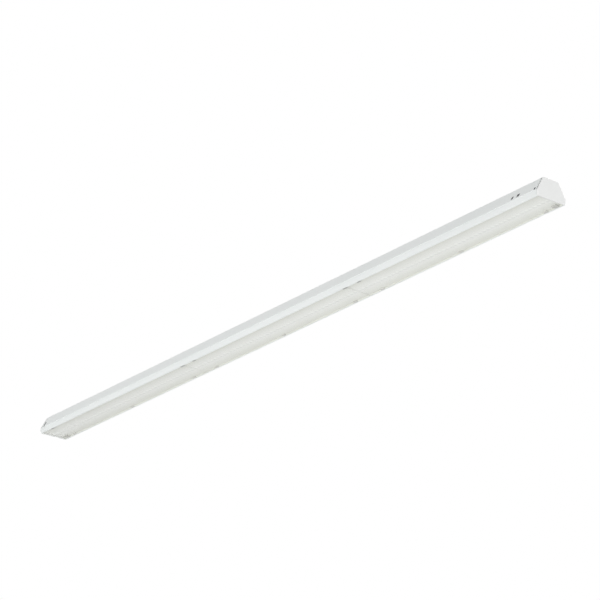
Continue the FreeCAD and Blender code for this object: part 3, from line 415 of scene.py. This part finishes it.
# %% PVC insulation
# Extruded PVC: clear, even colours with a soft shine. Its faint swelling repeats about every 2 mm.
wire_tones = {
    "brown": ("#643A20", "#704427"),
    "black": ("#1C1C1E", "#252527"),
    "grey": ("#8A8D90", "#96999C"),
    "blue": ("#2A5CAD", "#3266BA"),
    "red": ("#AC2D26", "#B93830"),
    "green_yellow": ("#3F8A36", "#478F3E"),
}
insulation = {name: finish("pvc_" + name, tones, 15, (0.34, 0.44), 2, 0.008)
              for name, tones in wire_tones.items()}
print(sorted(insulation))

# %% [markdown]
# ### Earth wire
# The earth wire has two colours in bands. They could follow a map along the wire, but the wire is nearly
# straight, so a diagonal wave through space gives slanting bands with one node. Where the wave is high,
# the wire is yellow.

# %% Yellow bands
BAND_SCALE = 50     # a diagonal wave of this scale repeats every 12.6 mm
BAND_LEVEL = 0.55   # a little less than half of the wire is yellow
tree = insulation["green_yellow"].node_tree
bands = add(tree, "ShaderNodeTexWave",
            {"Vector": tree.nodes["place"].outputs["Object"], "Scale": BAND_SCALE},
            bands_direction="DIAGONAL")
striped = add(tree, "ShaderNodeMath", {0: bands.outputs["Fac"], 1: BAND_LEVEL}, operation="GREATER_THAN")
overlay(insulation["green_yellow"], striped.outputs[0], linear("#E3CB3C"))
print("bands at scale", BAND_SCALE)

# %% [markdown]
# ## Pieces that repeat
# Lenses, LEDs, screws and rivets come in rows. Each could be modelled by hand and copied, but then a
# change means copying again. So each is made once in a Geometry Nodes tree, set out on points, and made
# real. A tree's sizes are named inputs, as in a table. The result is kept as a plain mesh, so that
# nothing is left to compute.


# %% Start a tree
def start_tree(name, sizes):
    """A Geometry Nodes tree with an input for each size; gives the tree and its inputs' sockets."""
    kinds = {int: "NodeSocketInt", float: "NodeSocketFloat", tuple: "NodeSocketVector"}
    tree = bpy.data.node_groups.new(name, "GeometryNodeTree")
    tree.interface.new_socket("Geometry", in_out="INPUT", socket_type="NodeSocketGeometry")
    tree.interface.new_socket("Geometry", in_out="OUTPUT", socket_type="NodeSocketGeometry")
    for label, value in sizes.items():
        tree.interface.new_socket(label, in_out="INPUT", socket_type=kinds[type(value)])
    return tree, add(tree, "NodeGroupInput").outputs


print("a tree's sizes are whole numbers, lengths or vectors")

# %% [markdown]
# ### Lens plates
# A lens plate is one moulding: a thin field with a foot rib along each edge, a row of lenses below it,
# and above each lens a neck with a cup that stands over the LED. It could be one extruded profile with
# lenses added by hand. But each part follows a rule, so a tree makes them from the sizes in this table.

# %% Sizes of a lens plate
RIB = 2.6 * MM
RECESS = 2.0 * MM  # from the ribs' feet up to the field
FIELD = 2.0 * MM
FLUTE_PITCH = 2.0 * MM
FLUTE_DEPTH = 0.22 * MM
FLUTE_STEPS = 4  # points across a flute
LED_COUNT = 48
LENS_RADIUS = 4.8 * MM
LENS_RISE = 0.9 * MM
LENS_ROOT = FIELD / 2  # a lens starts this deep in the field
NECK_RADIUS = 3.2 * MM
CUP_RADIUS = 2.1 * MM
CUP_DEPTH = 2.1 * MM


def first_led(number):
    """X of the first LED on a board, from the box of its LED packages."""
    low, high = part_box(f"led_packages_{number}")
    return (low.x + high.x) / 2 - (LED_COUNT - 1) / 2 * LED_PITCH


def plate_sizes(number):
    """The inputs of the lens plate's tree; the CAD node's box gives the plate's extent."""
    low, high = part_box(f"lens_plate_{number}")
    middle = (low + high) / 2
    length, width, _ = high - low
    under = low.z + RECESS
    flutes = 2 * round(width / FLUTE_PITCH / 2)  # even, so that the wave is nought at both edges
    neck = high.z - under - LENS_ROOT / 2
    return {
        "Field Size": (length, width, FIELD),
        "Field Place": (middle.x, 0.0, under + FIELD / 2),
        "Flute Points": flutes * FLUTE_STEPS + 1,
        "Flute Turn": math.pi * flutes / width,
        "Flute Reach": -FLUTE_DEPTH,
        "Rib Size": (length, RIB, RECESS + FIELD),
        "Rib Place": (middle.x, low.y + RIB / 2, low.z + (RECESS + FIELD) / 2),
        "Rib Step": (0.0, width - RIB, 0.0),
        "Lens Count": LED_COUNT,
        "First Lens": (first_led(number), 0.0, under + LENS_ROOT / 2),
        "Lens Step": (LED_PITCH, 0.0, 0.0),
        "Lens Radius": LENS_RADIUS,
        "Lens Height": LENS_ROOT,
        "Lens Spread": (LENS_RADIUS, LENS_RADIUS, 1.0),
        "Lens Reach": -LENS_RISE,
        "Neck Radius": NECK_RADIUS,
        "Neck Height": neck,
        "Neck Lift": (0.0, 0.0, neck / 2),
        "Cup Spread": (CUP_RADIUS, CUP_RADIUS, 1.0),
        "Cup Reach": -CUP_DEPTH,
    }


print(len(plate_sizes(1)), "inputs")

# %% [markdown]
# ### Fluted field and ribs
# Fine flutes along the field's underside spread the light sideways and give the plate its streaks. A bump
# in the material would vanish at the outline and in the exported mesh. So a cube with many cuts across is
# used, and the height of its lower points follows a wave. The two ribs are plain cubes in a row of two.


# %% Lower points, and rows
def half_points(tree, test="LESS_THAN"):
    """Each point's place, and whether its height is under (or over) the middle of its shape."""
    place = add(tree, "GeometryNodeInputPosition").outputs[0]
    height = add(tree, "ShaderNodeSeparateXYZ", {0: place}).outputs["Z"]
    return place, add(tree, "ShaderNodeMath", {0: height, 1: 0.0}, operation=test).outputs[0]


def in_row(tree, shape, count, start, step):
    """Instances of a shape in a straight row."""
    line = add(tree, "GeometryNodeMeshLine", {"Count": count, "Start Location": start, "Offset": step})
    return add(tree, "GeometryNodeInstanceOnPoints",
               {"Points": line.outputs[0], "Instance": shape}).outputs[0]


plate_tree, size = start_tree("lens_plate", plate_sizes(1))
print(plate_tree.name, "has its inputs")

# %% The plate's tree: field and ribs
slab = add(plate_tree, "GeometryNodeMeshCube",
           {"Size": size["Field Size"], "Vertices Y": size["Flute Points"]})
place, lower = half_points(plate_tree)
across = add(plate_tree, "ShaderNodeSeparateXYZ", {0: place}).outputs["Y"]
turn = add(plate_tree, "ShaderNodeMath", {0: across, 1: size["Flute Turn"]}, operation="MULTIPLY")
wave = add(plate_tree, "ShaderNodeMath", {0: turn.outputs[0]}, operation="SINE")
ridge = add(plate_tree, "ShaderNodeMath", {0: wave.outputs[0]}, operation="ABSOLUTE")
drop = add(plate_tree, "ShaderNodeMath", {0: ridge.outputs[0], 1: size["Flute Reach"]},
           operation="MULTIPLY")
move = add(plate_tree, "ShaderNodeCombineXYZ", {"Z": drop.outputs[0]})
fluted = add(plate_tree, "GeometryNodeSetPosition",
             {"Geometry": slab.outputs["Mesh"], "Selection": lower, "Offset": move.outputs[0]})
field = add(plate_tree, "GeometryNodeTransform",
            {"Geometry": fluted.outputs[0], "Translation": size["Field Place"]}).outputs[0]
rib = add(plate_tree, "GeometryNodeMeshCube", {"Size": size["Rib Size"]}).outputs["Mesh"]
ribs = in_row(plate_tree, rib, 2, size["Rib Place"], size["Rib Step"])
print(len(plate_tree.nodes), "nodes so far")

# %% [markdown]
# ### Lenses
# Under each LED a shallow dome spreads its light. A sphere cut in half would have most of its faces at
# the pole, where nothing bends. So a disc with even rings is taken, and a parabola pushes its points out,
# most in the middle and not at all at the rim. Screws, rivets and LED windows will use the same rule.


# %% The plate's tree: lenses
def domed_disc(tree, sides, rings, radius, depth, spread, reach, test="LESS_THAN"):
    """A disc whose lower (or upper) face is pushed along Z by reach, less and less out to spread."""
    disc = add(tree, "GeometryNodeMeshCylinder",
               {"Vertices": sides, "Fill Segments": rings, "Radius": radius, "Depth": depth},
               fill_type="TRIANGLE_FAN")
    place, face = half_points(tree, test)
    share = add(tree, "ShaderNodeVectorMath", {0: place, 1: spread}, operation="DIVIDE").outputs[0]
    square = add(tree, "ShaderNodeVectorMath", {0: share, 1: share}, operation="DOT_PRODUCT")
    left = add(tree, "ShaderNodeMath", {0: 1.0, 1: square.outputs["Value"]}, operation="SUBTRACT",
               use_clamp=True)
    push = add(tree, "ShaderNodeMath", {0: left.outputs[0], 1: reach}, operation="MULTIPLY")
    move = add(tree, "ShaderNodeCombineXYZ", {"Z": push.outputs[0]})
    domed = add(tree, "GeometryNodeSetPosition",
                {"Geometry": disc.outputs["Mesh"], "Selection": face, "Offset": move.outputs[0]})
    return domed.outputs[0]


LENS_SIDES = 24
LENS_RINGS = 4
dome = domed_disc(plate_tree, LENS_SIDES, LENS_RINGS, size["Lens Radius"], size["Lens Height"],
                  size["Lens Spread"], size["Lens Reach"])
domes = in_row(plate_tree, dome, size["Lens Count"], size["First Lens"], size["Lens Step"])
print(LENS_SIDES, "sides and", LENS_RINGS, "rings on a lens")

# %% [markdown]
# ### Necks with cups
# Above each lens a neck reaches up to the LED, and a cup in its end stands over the package. A hole could
# be cut with a boolean, but the same parabola, on the upper face and turned inwards, sinks the cup.

# %% The plate's tree: necks
NECK_RINGS = 6
post = domed_disc(plate_tree, LENS_SIDES, NECK_RINGS, size["Neck Radius"], size["Neck Height"],
                  size["Cup Spread"], size["Cup Reach"], test="GREATER_THAN")
neck = add(plate_tree, "GeometryNodeTransform", {"Geometry": post, "Translation": size["Neck Lift"]})
necks = in_row(plate_tree, neck.outputs[0], size["Lens Count"], size["First Lens"], size["Lens Step"])
print(NECK_RINGS, "rings on a neck")

# %% [markdown]
# ### One moulding
# Field, ribs, lenses and necks are one piece of plastic. Left as overlapping meshes they would show faces
# inside the clear material. So a union melts them together as the mould does, and then the notches for
# the retainers, which the tree gets as drawn boxes, are cut out. Shading is smooth up to sharp edges.

# %% The plate's tree: union and notches
SHARP = math.radians(30)


def crisp(tree, shape):
    """Smooth shading that stops at edges sharper than SHARP."""
    smooth = add(tree, "GeometryNodeSetShadeSmooth", {"Geometry": shape})
    angle = add(tree, "GeometryNodeInputMeshEdgeAngle").outputs["Unsigned Angle"]
    sharp = add(tree, "ShaderNodeMath", {0: angle, 1: SHARP}, operation="GREATER_THAN")
    return add(tree, "GeometryNodeSetShadeSmooth",
               {"Geometry": smooth.outputs[0], "Selection": sharp.outputs[0], "Shade Smooth": False},
               domain="EDGE").outputs[0]


def end_tree(tree, shape, material):
    """Makes a tree's instances real, gives them their material and hands them out."""
    real = add(tree, "GeometryNodeRealizeInstances", {"Geometry": shape})
    coated = add(tree, "GeometryNodeSetMaterial", {"Geometry": real.outputs[0], "Material": material})
    add(tree, "NodeGroupOutput", {"Geometry": coated.outputs[0]})


moulding = add(plate_tree, "GeometryNodeMeshBoolean", {"Mesh 2": [field, ribs, domes, necks]},
               operation="UNION", solver="MANIFOLD")
notched = add(plate_tree, "GeometryNodeMeshBoolean",
              {"Mesh 1": moulding.outputs["Mesh"], "Mesh 2": size["Geometry"]},
              operation="DIFFERENCE", solver="MANIFOLD")
end_tree(plate_tree, crisp(plate_tree, notched.outputs["Mesh"]), acrylic)
print(len(plate_tree.nodes), "nodes")

# %% [markdown]
# ### Three plates with notches
# A retainer's foot goes through a notch in the plate, and its head, which is larger, holds the plate down.
# The notches could be measured again, but the engineering model has the retainers, so each one's box is
# read from its mesh and made smaller by what the head adds. Then the tree is run once for each plate.

# %% Boxes of separate solids
WELD = 0.01 * MM  # a CAD node's mesh is loose triangles, so points this near are one


def solid_boxes(name):
    """Lowest and highest corner of each separate solid in a CAD node."""
    mesh = bmesh.new()
    mesh.from_mesh(nodes[name].data)
    bmesh.ops.remove_doubles(mesh, verts=mesh.verts, dist=WELD)
    boxes, found = [], set()
    for start in mesh.verts:
        if start in found:
            continue
        found.add(start)
        solid = [start]
        for vert in solid:
            for edge in vert.link_edges:
                other = edge.other_vert(vert)
                if other not in found:
                    found.add(other)
                    solid.append(other)
        corners = [[pick(v.co[k] for v in solid) for k in range(3)] for pick in (min, max)]
        boxes.append([Vector(corner) for corner in corners])
    mesh.free()
    return boxes


print("retainers:", len(solid_boxes("lens_retainers")))


# %% Draw boxes, and run a tree
def drawn_boxes(name, boxes):
    """A mesh of plain boxes, for a tree to cut with."""
    mesh = bmesh.new()
    for low, high in boxes:
        place = Matrix.LocRotScale((low + high) / 2, None, high - low)
        bmesh.ops.create_cube(mesh, size=1.0, matrix=place)
    drawn = bpy.data.meshes.new(name)
    mesh.to_mesh(drawn)
    mesh.free()
    return drawn


def grow(name, tree, sizes, drawn):
    """Runs a tree on a drawn mesh, keeps what it makes as a plain mesh, and fixes it to the light."""
    piece = bpy.data.objects.new(name, drawn)
    scene.collection.objects.link(piece)
    modifier = piece.modifiers.new(name, "NODES")
    modifier.node_group = tree
    for item in tree.interface.items_tree:
        if item.in_out == "INPUT" and item.name in sizes:
            modifier[item.identifier] = sizes[item.name]
    made = bpy.data.meshes.new_from_object(piece.evaluated_get(bpy.context.evaluated_depsgraph_get()))
    made.name = name
    piece.modifiers.remove(modifier)
    piece.data = made
    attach(piece, "root")
    print(name, len(made.polygons), "faces")
    return piece


print("each piece rides on the light's one body")

# %% Three plates
HEAD_MARGIN = 2.0 * MM  # a retainer's head goes past each end of its foot
HEAD_REACH = 3.0 * MM   # and this much further over the plate
NOTCH_CLEARANCE = 0.15 * MM
notches = []
for low, high in solid_boxes("lens_retainers"):
    spare = Vector((NOTCH_CLEARANCE - HEAD_MARGIN, NOTCH_CLEARANCE, NOTCH_CLEARANCE))
    low, high = low - spare, high + spare
    if low.y > 0:
        low.y += HEAD_REACH
    else:
        high.y -= HEAD_REACH
    notches.append((low, high))
for number in (1, 2, 3):
    name = f"lens_plate_{number}"
    low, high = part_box(name)
    near = [box for box in notches if box[1].x > low.x and box[0].x < high.x]
    plate = grow(f"satin_plate_{number}", plate_tree, plate_sizes(number), drawn_boxes("notches", near))
    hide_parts(name)

# %% [markdown]
# ### LEDs
# An LED package is a white plastic cup, a little narrower at its open side. It is filled with yellow
# phosphor in silicone that bulges slightly, and soldered to the board at both ends. There is one over
# every lens, so these sizes describe one package, and its row follows the lenses' pitch.

# %% Sizes of an LED
LED_WIDTH = 3.0 * MM
LED_BODY = 0.65 * MM
LED_TAPER = -0.06  # a lower corner moves in by this share of its place
WINDOW_RADIUS = 1.2 * MM
WINDOW_SUNK = 0.2 * MM
WINDOW_BULGE = 0.06 * MM
SOLDER = Vector((0.5, 2.2, 0.28)) * MM
SOLDER_TAPER = (-0.5, -0.1, 0.0)


def led_sizes(number):
    """The inputs of the LED tree; the CAD node's box gives the board's face and the window's."""
    low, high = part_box(f"led_packages_{number}")
    window = high.z - LED_BODY - low.z + WINDOW_SUNK - WINDOW_BULGE
    step = LED_WIDTH + SOLDER.x
    return {
        "Body Size": (LED_WIDTH, LED_WIDTH, LED_BODY),
        "Body Place": (0.0, 0.0, high.z - LED_BODY / 2),
        "Body Taper": (LED_TAPER, LED_TAPER, 0.0),
        "Window Radius": WINDOW_RADIUS,
        "Window Height": window,
        "Window Place": (0.0, 0.0, low.z + WINDOW_BULGE + window / 2),
        "Window Spread": (WINDOW_RADIUS, WINDOW_RADIUS, 1.0),
        "Window Reach": -WINDOW_BULGE,
        "Solder Size": tuple(SOLDER),
        "Solder Place": (-step / 2, 0.0, high.z - SOLDER.z / 2),
        "Solder Step": (step, 0.0, 0.0),
        "Solder Taper": SOLDER_TAPER,
        "Count": LED_COUNT,
        "First": (first_led(number), 0.0, 0.0),
        "Step": (LED_PITCH, 0.0, 0.0),
    }


print(len(led_sizes(1)), "inputs")

# %% [markdown]
# ### Bodies and solder
# Body and solder are blocks that get narrower downwards. A bevel would round them, which is too fine to
# see, so it is enough to draw the lower corners inwards by a share of their own place.


# %% The LED's tree: tapered blocks
def tapered_block(tree, block_size, taper):
    """A block about the origin whose lower corners move inwards by a share of their place."""
    block = add(tree, "GeometryNodeMeshCube", {"Size": block_size})
    place, lower = half_points(tree)
    inward = add(tree, "ShaderNodeVectorMath", {0: place, 1: taper}, operation="MULTIPLY")
    tapered = add(tree, "GeometryNodeSetPosition",
                  {"Geometry": block.outputs["Mesh"], "Selection": lower, "Offset": inward.outputs[0]})
    return tapered.outputs[0]


led_tree, size = start_tree("led_row", led_sizes(1))
cup = tapered_block(led_tree, size["Body Size"], size["Body Taper"])
body = add(led_tree, "GeometryNodeTransform",
           {"Geometry": cup, "Translation": size["Body Place"]}).outputs[0]
bead = tapered_block(led_tree, size["Solder Size"], size["Solder Taper"])
solder = in_row(led_tree, bead, 2, size["Solder Place"], size["Solder Step"])
print(len(led_tree.nodes), "nodes so far")

# %% [markdown]
# ### Windows, and a finish for each part
# The window is a domed disc. The three parts of a package need three finishes, and could be three rows of
# objects. Instead each part's faces are marked with a number before the row is made real, and the marks
# choose the finishes at the end, so that a row stays one piece.

# %% The LED's tree: window and marks
WINDOW_SIDES = 12
WINDOW_RINGS = 2
disc = domed_disc(led_tree, WINDOW_SIDES, WINDOW_RINGS, size["Window Radius"], size["Window Height"],
                  size["Window Spread"], size["Window Reach"])
window = add(led_tree, "GeometryNodeTransform",
             {"Geometry": disc, "Translation": size["Window Place"]}).outputs[0]
marked = []
for mark, part in enumerate((body, window, solder)):
    plain = add(led_tree, "GeometryNodeRealizeInstances", {"Geometry": part})
    marked.append(add(led_tree, "GeometryNodeStoreNamedAttribute",
                      {"Geometry": plain.outputs[0], "Name": "part", "Value": mark},
                      data_type="INT", domain="FACE").outputs[0])
whole = add(led_tree, "GeometryNodeJoinGeometry", {"Geometry": marked}).outputs[0]
print(len(marked), "marked parts")

# %% The LED's tree: row and finishes, and three rows
leds = in_row(led_tree, whole, size["Count"], size["First"], size["Step"])
made = add(led_tree, "GeometryNodeRealizeInstances", {"Geometry": leds})
part = add(led_tree, "GeometryNodeInputNamedAttribute", {"Name": "part"}, data_type="INT").outputs[0]
for mark, material in enumerate((led_body, phosphor, tin)):
    chosen = add(led_tree, "FunctionNodeCompare", {2: part, 3: mark}, data_type="INT", operation="EQUAL")
    made = add(led_tree, "GeometryNodeSetMaterial",
               {"Geometry": made.outputs[0], "Selection": chosen.outputs[0], "Material": material})
add(led_tree, "NodeGroupOutput", {"Geometry": made.outputs[0]})


def drawn_points(name, points):
    """A mesh of loose points, for a tree to set things out on."""
    drawn = bpy.data.meshes.new(name)
    drawn.from_pydata(points, [], [])
    return drawn


for number in (1, 2, 3):
    name = f"led_packages_{number}"
    leds = grow(f"led_row_{number}", led_tree, led_sizes(number), drawn_points("leds", []))
    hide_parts(name)

# %% [markdown]
# ### Board screws
# Small pan-head screws hold the boards to the tray, and a cross is pressed into each head. A picture of a
# cross would look flat from the side, so two bars are cut out of a domed disc. The thread is hidden in
# the tray, so the shank is plain. The points that the screws stand on come from the engineering model.

# %% Sizes of a screw
SCREW_HEAD = 2.75 * MM
SCREW_HEAD_HEIGHT = 1.8 * MM
SCREW_DOME = 0.9 * MM
SCREW_SHANK = 1.45 * MM
CROSS = Vector((3.0, 0.75, 1.8)) * MM
screw_boxes = solid_boxes("board_screws")
screw_height = screw_boxes[0][1].z - screw_boxes[0][0].z
shank = screw_height - SCREW_HEAD_HEIGHT + SCREW_DOME / 2
screw_sizes = {
    "Head Radius": SCREW_HEAD,
    "Head Height": SCREW_HEAD_HEIGHT - SCREW_DOME,
    "Head Place": (0.0, 0.0, SCREW_DOME + (SCREW_HEAD_HEIGHT - SCREW_DOME) / 2),
    "Head Spread": (SCREW_HEAD, SCREW_HEAD, 1.0),
    "Head Reach": -SCREW_DOME,
    "Shank Radius": SCREW_SHANK,
    "Shank Height": shank,
    "Shank Place": (0.0, 0.0, screw_height - shank / 2),
    "Cross Long": tuple(CROSS),
    "Cross Wide": (CROSS.y, CROSS.x, CROSS.z),
}
print(len(screw_boxes), "screws,", round(screw_height / MM, 2), "mm high")

# %% The screw's tree
HEAD_SIDES = 24
SHANK_SIDES = 16
SCREW_RINGS = 5
screw_tree, size = start_tree("pan_head_screw", screw_sizes)
disc = domed_disc(screw_tree, HEAD_SIDES, SCREW_RINGS, size["Head Radius"], size["Head Height"],
                  size["Head Spread"], size["Head Reach"])
head = add(screw_tree, "GeometryNodeTransform", {"Geometry": disc, "Translation": size["Head Place"]})
pin = add(screw_tree, "GeometryNodeMeshCylinder",
          {"Vertices": SHANK_SIDES, "Radius": size["Shank Radius"], "Depth": size["Shank Height"]})
stem = add(screw_tree, "GeometryNodeTransform",
           {"Geometry": pin.outputs["Mesh"], "Translation": size["Shank Place"]})
solid = add(screw_tree, "GeometryNodeMeshBoolean", {"Mesh 2": [head.outputs[0], stem.outputs[0]]},
            operation="UNION", solver="MANIFOLD")
bars = [add(screw_tree, "GeometryNodeMeshCube", {"Size": size[key]}).outputs["Mesh"]
        for key in ("Cross Long", "Cross Wide")]
crossed = add(screw_tree, "GeometryNodeMeshBoolean", {"Mesh 1": solid.outputs["Mesh"], "Mesh 2": bars},
              operation="DIFFERENCE", solver="MANIFOLD")
screws = add(screw_tree, "GeometryNodeInstanceOnPoints",
             {"Points": size["Geometry"], "Instance": crisp(screw_tree, crossed.outputs["Mesh"])})
end_tree(screw_tree, screws.outputs[0], zinc)
feet = [((low.x + high.x) / 2, (low.y + high.y) / 2, low.z) for low, high in screw_boxes]
screws = grow("cross_head_screws", screw_tree, screw_sizes, drawn_points("feet", feet))
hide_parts("board_screws")

# %% [markdown]
# ### Clip rivets
# Clips inside the tray are held by rivets, whose heads are domed on both sides. One profile turned about
# its axis could make a rivet. The domed disc is at hand, so it is used twice, once turned over, with a
# pin between, and a union makes one solid of the three.

# %% Sizes of a rivet
RIVET_HEAD = 3.0 * MM
RIVET_HEAD_HEIGHT = 1.2 * MM
RIVET_DOME = 0.75 * MM
RIVET_SHANK = 1.6 * MM
rivet_boxes = solid_boxes("tray_clip_rivets")
rivet_height = rivet_boxes[0][1].z - rivet_boxes[0][0].z
head_lift = rivet_height / 2 - (RIVET_HEAD_HEIGHT + RIVET_DOME) / 2
rivet_sizes = {
    "Head Radius": RIVET_HEAD,
    "Head Height": RIVET_HEAD_HEIGHT - RIVET_DOME,
    "Head Spread": (RIVET_HEAD, RIVET_HEAD, 1.0),
    "Head Reach": -RIVET_DOME,
    "Low Head": (0.0, 0.0, -head_lift),
    "High Head": (0.0, 0.0, head_lift),
    "Turned Over": (math.pi, 0.0, 0.0),
    "Shank Radius": RIVET_SHANK,
    "Shank Height": rivet_height - 2 * RIVET_DOME - RIVET_HEAD_HEIGHT / 2,
}
print(len(rivet_boxes), "rivets,", round(rivet_height / MM, 2), "mm high")

# %% The rivet's tree
RIVET_RINGS = 4
rivet_tree, size = start_tree("domed_rivet", rivet_sizes)
disc = domed_disc(rivet_tree, HEAD_SIDES, RIVET_RINGS, size["Head Radius"], size["Head Height"],
                  size["Head Spread"], size["Head Reach"])
low_head = add(rivet_tree, "GeometryNodeTransform", {"Geometry": disc, "Translation": size["Low Head"]})
high_head = add(rivet_tree, "GeometryNodeTransform",
                {"Geometry": disc, "Translation": size["High Head"], "Rotation": size["Turned Over"]})
pin = add(rivet_tree, "GeometryNodeMeshCylinder",
          {"Vertices": SHANK_SIDES, "Radius": size["Shank Radius"], "Depth": size["Shank Height"]})
solid = add(rivet_tree, "GeometryNodeMeshBoolean",
            {"Mesh 2": [low_head.outputs[0], high_head.outputs[0], pin.outputs["Mesh"]]},
            operation="UNION", solver="MANIFOLD")
rivets = add(rivet_tree, "GeometryNodeInstanceOnPoints",
             {"Points": size["Geometry"], "Instance": crisp(rivet_tree, solid.outputs["Mesh"])})
end_tree(rivet_tree, rivets.outputs[0], zinc)
middles = [(low + high) / 2 for low, high in rivet_boxes]
rivets = grow("domed_rivets", rivet_tree, rivet_sizes, drawn_points("middles", middles))
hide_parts("tray_clip_rivets")

# %% [markdown]
# ## Dressing the other pieces
# Most pieces of the engineering model already have the right shape and only need their finish. They could
# be dressed one by one. A table from each finish to its pieces is shorter, and shows at a glance what is
# made of what. Each piece gets its finish in its own slot.

# %% Finishes on the nodes
dress = {
    powder_coat: ["trunking_rail", "gear_tray"],
    cap_plastic: ["end_cap_left", "end_cap_right"],
    dark_nylon: ["cap_snaps", "connector_socket"],
    grey_nylon: ["lens_retainers"],
    spring_steel: ["tray_clips"],
    zinc: ["driver_base", "driver_screws", "terminal_clamp_screws", "terminal_block_screws",
           "earth_washer", "earth_screw"],
    white_mask: ["led_board_1", "led_board_2", "led_board_3"],
    natural_nylon: ["board_connectors", "driver_input_terminal", "driver_output_terminal",
                    "mains_terminal_block", "wire_combs"],
    cover_plastic: ["driver_cover"],
    green_mask: ["driver_board"],
    ferrite: ["driver_transformer"],
    sleeve: ["driver_capacitors"],
    brass: ["connector_contacts", "earth_ring_terminal"],
    rubber: ["lead_grommet"],
    insulation["brown"]: ["through_wire_brown", "tap_wire_live"],
    insulation["black"]: ["through_wire_black", "output_lead_negative", "link_wires_negative"],
    insulation["grey"]: ["through_wire_grey"],
    insulation["blue"]: ["through_wire_blue", "tap_wire_neutral"],
    insulation["red"]: ["output_lead_positive", "link_wires_positive"],
    insulation["green_yellow"]: ["through_wire_earth", "earth_lead"],
}
for material, names in dress.items():
    for name in names:
        nodes[name].material_slots[0].material = material
undressed = set(nodes) - {name for names in dress.values() for name in names}
print(len(nodes), "nodes,", len(undressed), "replaced by grown pieces")

# %% [markdown]
# ### Painted shade and light on the retainers
# In the photograph the front retainers are the darkest dashes and the small back ones the palest, with the
# broad locks at the ends between them, so the front ones get a painted shade and the back ones a painted
# light.
# All are one node, which could be cut into three. Giving its faces more than one material keeps it whole,
# so each face looks where it lies and picks a tone.

# %% Front, back and locks
LOCK_START = 815 * MM
retainers = nodes["lens_retainers"].data
retainers.materials.append(back_nylon_painted_light)
retainers.materials.append(front_nylon_painted_shade)
# Front faces take the painted shade, and back faces away from the locks take the painted light.
for face in retainers.polygons:
    if face.center.y < 0:
        face.material_index = 2
    elif abs(face.center.x) < LOCK_START:
        face.material_index = 1
print(len(retainers.polygons), "faces in", len(retainers.materials), "tones")

# %% [markdown]
# The dressed model has to stay inside the engineering model's box. It could be measured by hand in the
# viewport, but here its box is worked out from the scene and its size printed.

# %% Measure the dressed model's box
low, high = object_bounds()
print("visual size", [round(v / MM, 1) for v in high - low], "mm")
